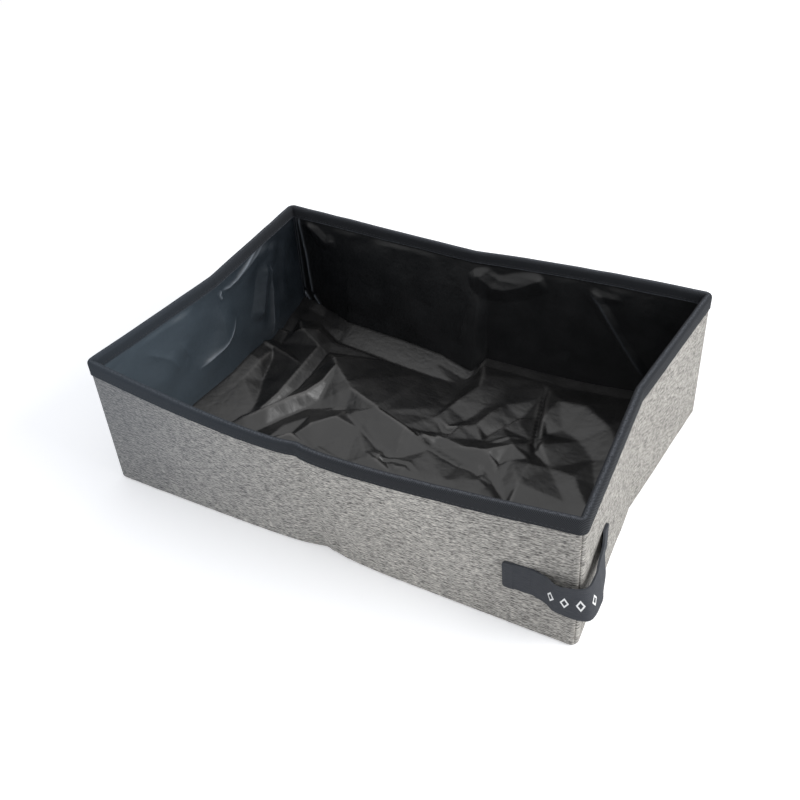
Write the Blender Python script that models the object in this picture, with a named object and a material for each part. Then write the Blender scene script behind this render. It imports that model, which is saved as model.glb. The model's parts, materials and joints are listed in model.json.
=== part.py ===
"""Collapsible travel litter tray.

Four fabric walls stand on a fabric base. Each wall holds two stiffening boards with a fold between
them, a loose waterproof lining hangs inside, a tape binds the rim, and a strap goes round one corner.
The side walls fold inwards at their middle, which brings the back wall to the front wall.

Metres, +Z up, X along the length, front wall towards -Y. The origin is on the underside of the base,
at the middle of the four corners.
"""

import math

import bmesh
import bpy
import numpy as np
from mathutils import Matrix, Vector
from mathutils.geometry import delaunay_2d_cdt

# Box
BOX_LENGTH = 0.432
BOX_WIDTH = 0.304
RIM_HEIGHT = 0.127

# Layers of a wall, from outside to inside
OUTER_FABRIC = 0.0010
BOARD = 0.0020
LINING = 0.0008
LAYER_GAP = 0.0003

# Rim tape
TAPE = 0.0008
TAPE_OUTER_DROP = 0.014
TAPE_INNER_DROP = 0.012
TAPE_CHAMFER = 0.0010

# Fold lines
CORNER_CLEARANCE = 0.0015
CREASE_CLEARANCE = 0.0015
SIDE_PREFOLD = math.radians(4.5)
SEAM = 0.0005
BOARD_CORNER_SETBACK = 0.0025
BOARD_CREASE_GAP = 0.006

# Shape that the slack fabric takes when the tray stands open
FRONT_RIM_BOW = 0.019
FRONT_CREASE_DENT = 0.0035
FRONT_DENT_REACH = 0.014
FRONT_FOOT_TUCK = 0.0065
FRONT_TUCK_REACH = 0.024
BACK_RIM_DIP = 0.013

# Heights
BASE_FABRIC = 0.0010
FOOT_GAP = 0.0003
BOARD_FOOT = 0.0015

# Floor of the lining
FLOOR_GAP = 0.0012
FLOOR_LIFT = 0.0015
FLOOR_HEM_RISE = 0.012
FLOOR_HEM_REACH = 0.012

# Strap
STRAP_WIDTH = 0.026
STRAP_THICKNESS = 0.0014
STRAP_MIDDLE_HEIGHT = 0.057
STRAP_FRONT_REACH = 0.056
STRAP_SIDE_REACH = 0.062
STRAP_FRONT_SEWN = 0.020
STRAP_SIDE_SEWN = 0.009
STRAP_STANDOFF = 0.0115
STRAP_SPLIT = 0.0004

# The strap's free runs, from the corner to the seam: share of the run, share of the standoff
STRAP_FRONT_SHARES = ((0.86, 0.06), (0.55, 0.36), (0.22, 0.82))
STRAP_SEWN_SHARES = (0, 0.5, 1)
STRAP_SIDE_SHARES = ((0.10, 0.86), (0.34, 0.72), (0.66, 0.50), (0.90, 0.18))

WALL = OUTER_FABRIC + BOARD + LINING + 2 * LAYER_GAP
CORNER_RADIUS = WALL + CORNER_CLEARANCE
HINGE_X = BOX_LENGTH / 2 - CORNER_RADIUS
HINGE_Y = BOX_WIDTH / 2 - CORNER_RADIUS
CREASE_REACH = CORNER_RADIUS + CREASE_CLEARANCE
HALF_SIDE = (HINGE_Y - CREASE_REACH * math.sin(SIDE_PREFOLD)) / math.cos(SIDE_PREFOLD)
WALL_FOOT = BASE_FABRIC + FOOT_GAP
WALL_TOP = RIM_HEIGHT - TAPE - LAYER_GAP
BOARD_DEPTH = OUTER_FABRIC + LAYER_GAP
LINING_DEPTH = BOARD_DEPTH + BOARD + LAYER_GAP
SIDE_PINCH = HALF_SIDE * math.sin(SIDE_PREFOLD)
MIDDLE_X = HINGE_X - SIDE_PINCH + CREASE_REACH * math.cos(SIDE_PREFOLD)

FRONT, BACK = -1, 1
LEFT, RIGHT = -1, 1

# Plan place of the axis of what doesn't turn
STILL = (0, 0)

# Edges that bend by more than this are shaded sharp
SHARP_FROM = math.radians(32)

# Crossings of the floor's lines that lie closer than this are one point
FLOOR_WELD = 0.00001

LONG_STATIONS = 11
LONG_LEVELS = 5
BASE_ROWS = 5
ARC_STATIONS = 6
STRAP_STEPS = 3

# Colours as linear RGB, with roughness
FINISHES = {
    "heather_fabric": ((0.27, 0.26, 0.245), 0.95),
    "black_lining": ((0.012, 0.012, 0.014), 0.42),
    "rim_tape": ((0.022, 0.022, 0.025), 0.85),
    "board_plastic": ((0.55, 0.55, 0.53), 0.55),
    "strap_webbing": ((0.045, 0.046, 0.050), 0.85),
}

# Lining's floor, from the left wall to the right and then the back. A point of a crease is a share of
# the floor's half length, one of its half width, and its height as a share of FLOOR_FOLD.
FLOOR_FOLD = 0.018
FLOOR_CREASE_SHARES = (
    ((-0.9, 0.62, 0.8), (-0.84, 0.45, 0.8), (-0.81, 0.27, 0.63), (-0.76, 0.04, 0.47), (-0.74, -0.1, 0.24)),
    ((-0.91, 0.36, 0.41), (-0.88, 0.1, 0.3), (-0.8, -0.2, 0.08), (-0.82, -0.45, 0.02)),
    ((-0.69, 0.51, 0.19), (-0.69, 0.2, 0.08), (-0.7, -0.03, 0.08)),
    ((-0.56, 0.36, 1), (-0.58, 0.03, 0.86), (-0.7, -0.18, 0.69), (-0.8, -0.52, 0.24), (-0.83, -0.72, 0.02)),
    ((-0.38, 0.05, 0.24), (-0.56, -0.03, 0.08), (-0.66, -0.29, 0.02), (-0.72, -0.59, 0.02)),
    ((-0.35, 0, 0.47), (-0.4, -0.15, 0.63), (-0.5, -0.33, 0.58), (-0.6, -0.57, 0.02)),
    ((-0.56, 0.36, 1), (-0.42, 0.22, 0.91), (-0.21, 0.08, 0.8), (-0.03, 0, 0.74), (0.16, 0.04, 0.58)),
    ((0.16, 0.04, 0.58), (0.37, 0.02, 0.69), (0.45, 0.12, 0.63), (0.5, 0.2, 0.36)),
    ((-0.18, 0.01, 0.3), (0.12, -0.07, 0.08), (0.39, -0.16, 0.13)),
    ((-0.31, -0.04, 0.36), (-0.07, -0.19, 0.13)),
    ((-0.47, -0.31, 0.13), (-0.19, -0.38, 0.02), (0.11, -0.46, 0.02), (0.34, -0.41, 0.08)),
    ((0.03, 0.7, 0.13), (0.05, 0.48, 0.08), (0.03, 0.34, 0.13)),
    ((0.08, 0.81, 0.58), (0.14, 0.59, 0.63), (0.06, 0.31, 0.36)),
    ((0.13, 0.15, 0.47), (0.24, 0.25, 0.52), (0.29, 0.52, 0.36)),
    ((0.31, 0.14, 0.3), (0.4, 0.39, 0.52), (0.4, 0.51, 0.24)),
    ((0.41, 0.77, 0.02), (0.46, 0.49, 0.02), (0.53, 0.27, 0.02)),
    ((0.45, 0.77, 0.36), (0.5, 0.51, 0.36), (0.57, 0.3, 0.24)),
    ((0.6, 0.63, 0.47), (0.69, 0.57, 0.47), (0.81, 0.42, 0.41), (0.9, 0.23, 0.36)),
    ((0.6, 0.44, 0.13), (0.76, 0.28, 0.13), (0.91, -0.07, 0.08)),
    ((0.52, 0.07, 0.08), (0.57, -0.2, 0.02), (0.6, -0.42, 0.02)),
    ((-0.58, -0.7, 0.24), (-0.29, -0.67, 0.3), (-0.05, -0.73, 0.2), (0.19, -0.63, 0.3), (0.54, -0.57, 0.2)),
    ((-0.8, 0.83, 0.13), (-0.68, 0.75, 0.08), (-0.38, 0.7, 0.08), (-0.15, 0.68, 0.08), (0, 0.7, 0.08)),
    ((-0.9, 0.92, 0.47), (-0.69, 0.87, 0.58), (-0.38, 0.82, 0.58), (-0.15, 0.78, 0.47), (0.03, 0.75, 0.24)),
    ((0.03, 0.75, 0.24), (0.07, 0.87, 0.58), (0.35, 0.89, 0.47), (0.56, 0.91, 0.3), (0.9, 0.92, 0.4)),
)
# Foot of the floor's turned-up edge, from the back left corner round the front to the back right
FLOOR_FOOT_SHARES = (
    ((-1, 1, 0.6), (-1, 0.7, 0.7), (-1, 0.45, 0.6), (-1, 0.2, 0.4), (-1, 0, 0.25), (-1, -0.45, 0.08))
    + ((-1, -1, 0.05), (-0.5, -1, 0.08), (-0.1, -1, 0.05), (0, -1, 0.05), (0.1, -1, 0.05), (0.5, -1, 0.08))
    + ((1, -1, 0.05), (1, -0.5, 0.05), (1, 0, 0.13), (1, 0.4, 0.25), (1, 0.75, 0.35), (1, 1, 0.35))
)
# Where the slack lining meets the back wall: share of the half length, and height as a share of the rim's
FLOOR_SLACK_SHARES = (
    ((0.9, 0.22), (0.76, 0.3), (0.56, 0.45), (0.35, 0.6), (0.07, 0.7), (0, 0.76))
    + ((-0.15, 0.76), (-0.38, 0.72), (-0.69, 0.55), (-0.82, 0.38), (-0.92, 0.26))
)


def clear_scene():
    """Removes every object that the scene holds."""
    for thing in list(bpy.data.objects):
        bpy.data.objects.remove(thing)


def material(name):
    """The named finish as a material."""
    found = bpy.data.materials.get(name)
    if found:
        return found
    colour, roughness = FINISHES[name]
    made = bpy.data.materials.new(name)
    made.use_nodes = True
    shader = made.node_tree.nodes["Principled BSDF"]
    shader.inputs["Base Color"].default_value = (*colour, 1)
    shader.inputs["Roughness"].default_value = roughness
    shader.inputs["Metallic"].default_value = 0
    return made


def add_object(name, mesh, finish, axis):
    """Puts a mesh in the scene as a named object with closed, outward faces and its origin on an axis."""
    mesh.transform(Matrix.Translation((-axis[0], -axis[1], 0)))
    work = bmesh.new()
    work.from_mesh(mesh)
    bmesh.ops.recalc_face_normals(work, faces=work.faces)
    work.to_mesh(mesh)
    work.free()
    mesh.materials.append(material(finish))
    mesh.shade_smooth()
    mesh.set_sharp_from_angle(angle=SHARP_FROM)
    made = bpy.data.objects.new(name, mesh)
    made.location = (*axis, 0)
    bpy.context.scene.collection.objects.link(made)
    return made


def loft(name, rings, finish, axis=STILL):
    """A closed solid through rings of points, with its origin on the axis that it turns about.

    rings has the shape (stations, 2 n, 3). The first n points of a ring run up one face of the
    sheet and the last n run back down the other, so each end is closed by a strip of quads. The
    two faces are split along the same diagonals, so a bent sheet keeps its thickness.
    """
    stations, around = rings.shape[:2]
    half = around // 2
    faces = []
    for s in range(stations - 1):
        for r in range(around):
            after = (r + 1) % around
            a, b = s * around + r, s * around + after
            c, d = b + around, a + around
            faces += [(a, b, c), (a, c, d)] if r < half else [(a, b, d), (b, c, d)]
    for s in (0, stations - 1):
        for r in range(half - 1):
            first, last = s * around + r, s * around + around - 1 - r
            faces.append((first, first + 1, last - 1, last))
    mesh = bpy.data.meshes.new(name)
    mesh.from_pydata(rings.reshape(-1, 3).tolist(), [], faces)
    return add_object(name, mesh, finish, axis)


def front_bulge(x, z):
    """How far the front wall's outer face stands outside the straight line between its corners."""
    rise = z / RIM_HEIGHT
    bow = FRONT_RIM_BOW * np.cos(math.pi / 2 * x / HINGE_X) * rise**1.2
    dent = FRONT_CREASE_DENT * np.exp(-np.abs(x) / FRONT_DENT_REACH) * rise
    tuck = FRONT_FOOT_TUCK * np.exp(-np.abs(x) / FRONT_TUCK_REACH) * (1 - rise)
    return bow - dent - tuck


def back_bulge(x, z):
    """The same for the back wall, whose rim dips inwards at the fold, straight on the left."""
    share = np.clip(1 - np.abs(x) / HINGE_X, 0, 1)
    return -BACK_RIM_DIP * (z / RIM_HEIGHT) * np.where(x < 0, share, share**2.2)


def long_wall(side):
    """A function that places points of the front or back wall by x, depth and height."""
    bulge = front_bulge if side == FRONT else back_bulge

    def place(x, depth, z):
        y = side * (BOX_WIDTH / 2 + bulge(x, z) - depth)
        return np.stack([x, y, z], axis=-1)

    return place


def side_half(end_x, end_y):
    """A function that places points of half a side wall.

    Its first value is the run along the outer face from the corner's fold axis: negative round the
    corner, positive towards the middle fold, where every layer ends at the same plane. end_x and
    end_y are the signs of the corner.
    """
    axis = np.array([end_x * HINGE_X, end_y * HINGE_Y])
    along = np.array([-end_x * math.sin(SIDE_PREFOLD), -end_y * math.cos(SIDE_PREFOLD)])
    outward = np.array([end_x * math.cos(SIDE_PREFOLD), -end_y * math.sin(SIDE_PREFOLD)])

    def place(run, depth, z):
        from_axis = CORNER_RADIUS - depth
        fold = (HINGE_Y - SEAM / 2 - from_axis * math.sin(SIDE_PREFOLD)) / math.cos(SIDE_PREFOLD)
        straight = np.clip(run, 0, fold)
        turn = np.maximum(-run, 0) / CORNER_RADIUS
        facing = np.cos(turn)[..., None] * outward - np.sin(turn)[..., None] * along
        plan = axis + straight[..., None] * along + from_axis[..., None] * facing
        return np.concatenate([plan, z[..., None]], axis=-1)

    return place


def sweep(name, place, stations, outer_path, inner_path, finish, axis):
    """A wall piece: a profile of (depth, height) points carried along the wall's stations."""
    profile = np.array(list(outer_path) + list(inner_path)[::-1])
    runs, depths = np.meshgrid(np.array(stations), profile[:, 0], indexing="ij")
    heights = np.broadcast_to(profile[:, 1], runs.shape)
    return loft(name, place(runs, depths, heights), finish, axis)


def layer_paths(depth, thickness, foot, top, levels):
    """The two faces of a flat layer as (depth, height) points, with a break where the tape starts."""
    heights = np.append(np.linspace(foot, RIM_HEIGHT - TAPE_OUTER_DROP, levels - 1), top)
    return [(depth, z) for z in heights], [(depth + thickness, z) for z in heights]


def tape_paths():
    """The two faces of the rim tape, which goes over the wall's top edge like a saddle."""

    def saddle(spare, chamfer):
        outside = -LAYER_GAP - TAPE + spare
        inside = WALL + LAYER_GAP + TAPE - spare
        top = RIM_HEIGHT - spare
        return [
            (outside, RIM_HEIGHT - TAPE_OUTER_DROP),
            (outside, top - chamfer),
            (outside + chamfer, top),
            (inside - chamfer, top),
            (inside, top - chamfer),
            (inside, RIM_HEIGHT - TAPE_INNER_DROP),
        ]

    return saddle(0, TAPE_CHAMFER), saddle(TAPE, LAYER_GAP)


def spread(start, end, count):
    """Evenly spread values from start to end."""
    return np.linspace(start, end, count)


def long_stations(start, end):
    """Stations between two places on a long wall, closer together towards the fold at its middle.

    Every piece of the wall breaks at the same stations, so their facets keep their gaps.
    """
    spans = (HINGE_X - BOARD_CORNER_SETBACK) * spread(0, 1, LONG_STATIONS) ** 1.5
    breaks = np.concatenate([-spans, spans, [-BOARD_CREASE_GAP / 2, BOARD_CREASE_GAP / 2]])
    between = breaks[(breaks > start) & (breaks < end)]
    return np.unique(np.concatenate([between, [start, end]]))


def build_long_wall(side, name, axis):
    """The front or back wall: fabric, lining and tape in one length each, and two boards."""
    place = long_wall(side)
    reach = HINGE_X - SEAM / 2
    whole = long_stations(-reach, reach)
    outer = layer_paths(0, OUTER_FABRIC, WALL_FOOT, WALL_TOP, LONG_LEVELS)
    sweep(name + "_outer_panel", place, whole, *outer, "heather_fabric", axis)
    lining = layer_paths(LINING_DEPTH, LINING, WALL_FOOT, WALL_TOP, LONG_LEVELS)
    sweep(name + "_lining", place, whole, *lining, "black_lining", axis)
    sweep(name + "_rim_tape", place, whole, *tape_paths(), "rim_tape", axis)
    board = layer_paths(BOARD_DEPTH, BOARD, WALL_FOOT + BOARD_FOOT, WALL_TOP, LONG_LEVELS)
    board_ends = (BOARD_CREASE_GAP / 2, HINGE_X - BOARD_CORNER_SETBACK)
    for end, word in ((LEFT, "left"), (RIGHT, "right")):
        stations = np.sort(end * long_stations(*board_ends))
        sweep(f"{name}_{word}_board", place, stations, *board, "board_plastic", axis)


def build_side_half(end_x, end_y, name, axis):
    """Half a side wall, from its corner to the fold at the side's middle."""
    place = side_half(end_x, end_y)
    quarter = (math.pi / 2 + SIDE_PREFOLD) * CORNER_RADIUS
    round_corner = np.concatenate([spread(SEAM / 2 - quarter, 0, ARC_STATIONS), [HINGE_Y]])
    outer = layer_paths(0, OUTER_FABRIC, WALL_FOOT, WALL_TOP, 2)
    sweep(name + "_outer_panel", place, round_corner, *outer, "heather_fabric", axis)
    sweep(name + "_rim_tape", place, round_corner, *tape_paths(), "rim_tape", axis)
    lining = layer_paths(LINING_DEPTH, LINING, WALL_FOOT, WALL_TOP, 2)
    sweep(name + "_lining", place, (LAYER_GAP, HINGE_Y), *lining, "black_lining", axis)
    board = layer_paths(BOARD_DEPTH, BOARD, WALL_FOOT + BOARD_FOOT, WALL_TOP, 2)
    ends = (BOARD_CORNER_SETBACK, HALF_SIDE - BOARD_CREASE_GAP / 2)
    sweep(name + "_board", place, ends, *board, "board_plastic", axis)


def inside_walls(s, t, z, inside):
    """The plan point at shares s and t of the half sizes, on a level that the walls' slack shapes.

    inside is the distance that the edge keeps from the walls' outer faces.
    """
    across = s * BOX_LENGTH / 2
    slack = np.where(t < 0, np.minimum(front_bulge(across, z), 0), back_bulge(across, z))
    y = t * (BOX_WIDTH / 2 - inside + slack)
    pinch = SIDE_PINCH * np.clip(1 - np.abs(y) / HINGE_Y, 0, 1)
    return s * (BOX_LENGTH / 2 - inside - pinch), y


def build_base():
    """The base fabric under all four walls, with its edge pulled in where theirs is."""
    shares = long_stations(-BOX_LENGTH / 2, BOX_LENGTH / 2) / (BOX_LENGTH / 2)
    s, t = np.meshgrid(shares, spread(-1, 1, BASE_ROWS), indexing="ij")
    x, y = inside_walls(s, t, np.zeros_like(s), 0)
    corner = (np.abs(s) == 1) & (np.abs(t) == 1)
    cut = CORNER_RADIUS * (1 - math.sqrt(0.5)) * corner
    under = np.stack([x - np.sign(s) * cut, y - np.sign(t) * cut, np.zeros_like(s)], axis=-1)
    over = under + np.array([0, 0, BASE_FABRIC])
    loft("base_panel", np.concatenate([under, over[:, ::-1]], axis=1), "heather_fabric")


def floor_lines():
    """The floor's lines as lists of (share, share, height), the closed one along the walls last."""
    reach_x, reach_y = FLOOR_HEM_REACH / (BOX_LENGTH / 2), FLOOR_HEM_REACH / (BOX_WIDTH / 2)
    lines = [[(s, t, h * FLOOR_FOLD) for s, t, h in crease] for crease in FLOOR_CREASE_SHARES]
    lines.append([(s * (1 - reach_x), t * (1 - reach_y), h * FLOOR_FOLD) for s, t, h in FLOOR_FOOT_SHARES])
    edge = [(s, t, h * FLOOR_FOLD + FLOOR_HEM_RISE) for s, t, h in FLOOR_FOOT_SHARES]
    edge += [(s, 1, h * RIM_HEIGHT) for s, h in FLOOR_SLACK_SHARES]
    lines.append(edge + edge[:1])
    return lines


def floor_net():
    """The floor's corner points, as shares and heights, and the triangles between its lines."""
    points, edges = [], []
    for line in floor_lines():
        edges += [(i, i + 1) for i in range(len(points), len(points) + len(line) - 1)]
        points += line
    half = np.array([BOX_LENGTH, BOX_WIDTH]) / 2
    places = [Vector((s * half[0], t * half[1])) for s, t, _ in points]
    found, _, triangles, sources, _, _ = delaunay_2d_cdt(places, edges, [], 0, FLOOR_WELD)
    heights = np.array([points[same[0]][2] for same in sources])
    return np.array([tuple(place) for place in found]) / half, heights, np.array(triangles)


def corner_normals(points, triangles):
    """The unit normal at each point, the mean of its triangles' by their areas."""
    a, b, c = (points[triangles[:, k]] for k in range(3))
    normals = np.zeros_like(points)
    for k in range(3):
        np.add.at(normals, triangles[:, k], np.cross(b - a, c - a))
    return normals / np.linalg.norm(normals, axis=1)[:, None]


def build_floor_lining():
    """The lining's loose floor: one creased sheet, turned up along the walls and slack at the back."""
    shares, heights, triangles = floor_net()
    top = WALL_FOOT + FLOOR_LIFT + LINING + heights
    x, y = inside_walls(shares[:, 0], shares[:, 1], top, WALL + FLOOR_GAP)
    upper = np.stack([x, y, top], axis=-1)
    lower = upper - corner_normals(upper, triangles) * LINING
    count = len(upper)
    faces = triangles.tolist() + (triangles[:, ::-1] + count).tolist()
    sides = {(a, b) for tri in triangles.tolist() for a, b in zip(tri, tri[1:] + tri[:1])}
    faces += [(b, a, a + count, b + count) for a, b in sides if (b, a) not in sides]
    mesh = bpy.data.meshes.new("floor_lining")
    mesh.from_pydata(np.concatenate([upper, lower]).tolist(), [], faces)
    add_object("floor_lining", mesh, "black_lining", STILL)


def strap_guides(height):
    """Points that the strap's middle line passes at a height, from its front end to its side end.

    Each end lies on its wall for the sewn length, and between them the strap stands off the corner.
    """
    z = np.array([height])
    on_wall = LAYER_GAP + STRAP_THICKNESS / 2

    def front_point(run, off):
        return long_wall(FRONT)(np.array([HINGE_X - run]), np.array([-off]), z)[0]

    def side_point(run, off):
        return side_half(RIGHT, FRONT)(np.array([run]), np.array([-off]), z)[0]

    front_end = STRAP_FRONT_REACH - CORNER_RADIUS
    side_end = STRAP_SIDE_REACH - CORNER_RADIUS
    front_free, side_free = front_end - STRAP_FRONT_SEWN, side_end - STRAP_SIDE_SEWN
    front = [front_point(front_end - share * STRAP_FRONT_SEWN, on_wall) for share in STRAP_SEWN_SHARES]
    for run_share, off_share in STRAP_FRONT_SHARES:
        front.append(front_point(run_share * front_free, on_wall + off_share * STRAP_STANDOFF))
    corner = [side_point(-CORNER_RADIUS * math.pi / 4, on_wall + STRAP_STANDOFF)]
    side = []
    for run_share, off_share in STRAP_SIDE_SHARES:
        side.append(side_point(run_share * side_free, on_wall + off_share * STRAP_STANDOFF))
    side += [side_point(side_free + share * STRAP_SIDE_SEWN, on_wall) for share in STRAP_SEWN_SHARES]
    return np.array(front + corner + side)


def smooth_through(points, steps):
    """Catmull-Rom curve through points, with steps points to each span."""
    padded = np.vstack([2 * points[0] - points[1], points, 2 * points[-1] - points[-2]])
    found = []
    for a, b, c, d in zip(padded, padded[1:], padded[2:], padded[3:]):
        for t in spread(0, 1, steps + 1)[:-1]:
            cubic = (3 * b - a - 3 * c + d) * t**3 + (2 * a - 5 * b + 4 * c - d) * t**2
            found.append(0.5 * (2 * b + (c - a) * t + cubic))
    found.append(points[-1])
    return np.array(found)


def strap_edge(height):
    """The strap's outer and inner edge lines at a height, each as points."""
    line = smooth_through(strap_guides(height), STRAP_STEPS)
    ahead = np.gradient(line, axis=0)
    ahead /= np.linalg.norm(ahead, axis=1)[:, None]
    across = np.stack([ahead[:, 1], -ahead[:, 0], np.zeros(len(line))], axis=1)
    return line + across * STRAP_THICKNESS / 2, line - across * STRAP_THICKNESS / 2


def build_strap():
    """The corner strap as two runs, one on each wall, which meet off the corner."""
    low_out, low_in = strap_edge(STRAP_MIDDLE_HEIGHT - STRAP_WIDTH / 2)
    high_out, high_in = strap_edge(STRAP_MIDDLE_HEIGHT + STRAP_WIDTH / 2)
    rings = np.stack([low_out, high_out, high_in, low_in], axis=1)
    corner = STRAP_STEPS * (len(STRAP_SEWN_SHARES) + len(STRAP_FRONT_SHARES))
    ahead = rings[corner + 1] - rings[corner - 1]
    half_gap = ahead / np.linalg.norm(ahead, axis=1)[:, None] * STRAP_SPLIT / 2
    front_run = np.concatenate([rings[:corner], [rings[corner] - half_gap]])
    side_run = np.concatenate([[rings[corner] + half_gap], rings[corner + 1 :]])
    loft("strap_front_run", front_run, "strap_webbing")
    loft("strap_side_run", side_run, "strap_webbing", (HINGE_X, -HINGE_Y))


def main():
    """Builds the whole tray."""
    clear_scene()
    build_base()
    build_floor_lining()
    build_long_wall(FRONT, "front", STILL)
    build_long_wall(BACK, "back", (HINGE_X, HINGE_Y))
    for end_x, side_word in ((RIGHT, "right"), (LEFT, "left")):
        build_side_half(end_x, FRONT, side_word + "_front", (end_x * HINGE_X, -HINGE_Y))
        build_side_half(end_x, BACK, side_word + "_back", (end_x * MIDDLE_X, 0))
    build_strap()


main()
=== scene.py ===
"""Looks of a collapsible travel litter tray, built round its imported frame.

Each wall is a cover of heather canvas outside, a loose coated lining inside and a woven tape over
the rim. The lining's floor lies crumpled between the walls, and a webbing strap goes round the
front right corner. Lengths are in metres. Tables of folds are in millimetres.
"""

import json
import logging
import math
from dataclasses import dataclass
from enum import Enum
from typing import Iterable, Sequence

import bmesh
import bpy
import numpy as np
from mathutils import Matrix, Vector
from mathutils.geometry import delaunay_2d_cdt


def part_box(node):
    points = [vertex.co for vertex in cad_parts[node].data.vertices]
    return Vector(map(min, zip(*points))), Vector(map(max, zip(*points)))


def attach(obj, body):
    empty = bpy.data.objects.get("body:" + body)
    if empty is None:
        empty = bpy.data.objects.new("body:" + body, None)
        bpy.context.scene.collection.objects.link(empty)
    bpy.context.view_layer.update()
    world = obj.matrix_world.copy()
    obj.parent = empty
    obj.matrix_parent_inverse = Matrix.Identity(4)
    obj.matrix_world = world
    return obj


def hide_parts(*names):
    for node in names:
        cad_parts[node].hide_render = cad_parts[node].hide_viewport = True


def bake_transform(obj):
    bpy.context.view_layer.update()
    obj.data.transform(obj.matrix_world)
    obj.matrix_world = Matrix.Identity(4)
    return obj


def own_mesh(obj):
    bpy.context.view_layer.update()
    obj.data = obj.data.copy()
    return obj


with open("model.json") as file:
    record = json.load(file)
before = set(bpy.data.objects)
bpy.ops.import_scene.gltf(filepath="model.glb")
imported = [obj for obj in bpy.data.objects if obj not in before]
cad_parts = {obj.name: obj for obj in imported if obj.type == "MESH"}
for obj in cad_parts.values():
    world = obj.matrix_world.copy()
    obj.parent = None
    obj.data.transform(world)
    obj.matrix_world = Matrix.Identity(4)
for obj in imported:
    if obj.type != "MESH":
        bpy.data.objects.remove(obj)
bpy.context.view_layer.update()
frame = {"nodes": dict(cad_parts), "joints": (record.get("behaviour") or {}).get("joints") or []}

LOG = logging.getLogger("litter_tray")
MM = 0.001
TINY = 1e-6
WHITE = (1.0, 1.0, 1.0, 1.0)

frozen = dataclass(frozen=True)
Array = np.ndarray
Pair = tuple[float, float]
Layers = tuple[tuple[float, float, int], ...]
Spot = tuple[float, float, float]
Piece = bpy.types.Object
Tree = bpy.types.NodeTree
Socket = bpy.types.NodeSocket


class Wall(Enum):
    """The four walls, named as seen from the front."""

    FRONT = "front"
    BACK = "back"
    LEFT = "left"
    RIGHT = "right"


SIDES = (Wall.RIGHT, Wall.LEFT)

# Shaping helpers

KNOTS = 96  # knots each way before a cloud repeats
OFF_AXES = (41.3, 37.7)  # moves a cloud's knots off the tray's axes, in knots
BENDING = 0.9  # how far clouds bend a crumple's coordinates, in facet widths
BEND_SIZE = 2.3  # size of those clouds, in facet widths
WAVES = 5  # triangle waves in a crumple
WAVE_TURN = 0.3  # random turn of a wave either way, in radians
WAVE_LENGTHS = (1.4, 3.0)  # shortest and longest wave, in facet widths
WAVE_SUM = 2.2  # brings the waves' sum to about 1


def ease(share: Array | float) -> Array:
    """Smoothstep: three squares less two cubes of the share, held between 0 and 1."""
    held = np.clip(share, 0.0, 1.0)
    return held * held * (3.0 - 2.0 * held)


def cloud(a: Array, b: Array, size: float, seed: int) -> Array:
    """Soft random hills.

    A lattice of random heights, size metres apart, read with smoothstep weights between its knots.

    Args:
        a: First coordinate of each point, in metres.
        b: Second coordinate.
        size: Distance between knots.
        seed: Picks the heights.

    Returns:
        Heights from -1 to 1.
    """
    knots = np.random.default_rng(seed).uniform(-1.0, 1.0, (KNOTS + 1, KNOTS + 1))
    u, v = np.asarray(a) / size + OFF_AXES[0], np.asarray(b) / size + OFF_AXES[1]
    i, j = np.floor(u).astype(int), np.floor(v).astype(int)
    s, t = ease(u - i), ease(v - j)
    i, j = i % KNOTS, j % KNOTS
    low = knots[i, j] * (1 - s) + knots[i + 1, j] * s
    high = knots[i, j + 1] * (1 - s) + knots[i + 1, j + 1] * s
    return low * (1 - t) + high * t


def hills(a: Array, b: Array, layers: Layers) -> Array:
    """Clouds added together, each given as its share, its size and its seed."""
    return sum(share * cloud(a, b, size, seed) for share, size, seed in layers)


def crumple(a: Array, b: Array, size: float, seed: int) -> Array:
    """Flat facets between sharp creases, as in stiff coated cloth.

    The sum of several triangle waves in random directions, on coordinates that a cloud has bent.

    Args:
        a: First coordinate of each point, in metres.
        b: Second coordinate.
        size: Typical width of a facet.
        seed: Picks the directions.

    Returns:
        Heights from about -1 to 1.
    """
    random = np.random.default_rng(seed)
    bent_a = a + BENDING * size * cloud(a, b, BEND_SIZE * size, seed + 1)
    bent_b = b + BENDING * size * cloud(a, b, BEND_SIZE * size, seed + 2)
    total = np.zeros(np.shape(a))
    turns = random.uniform(-WAVE_TURN, WAVE_TURN, WAVES)
    for angle in np.linspace(0, math.pi, WAVES, endpoint=False) + turns:
        across = bent_a * math.cos(angle) + bent_b * math.sin(angle)
        wave = np.abs((across / (size * random.uniform(*WAVE_LENGTHS)) + random.uniform()) % 1.0 - 0.5)
        total += 4.0 * wave - 1.0
    return total / WAVE_SUM


class Flank(Enum):
    """How a fold's height falls with the distance from its path, as a share of its width."""

    CRISP = "falls by an exponential, as a pressed crease does"
    SOFT = "falls by a bell curve, as a roll does"
    FLAT = "falls along a straight slope to nothing, as a facet does"


CRISP, SOFT, FLAT = Flank
HIGHLIGHT_REACH = 0.9 * MM  # how far a highlight painted along a crease reaches each way


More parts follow.
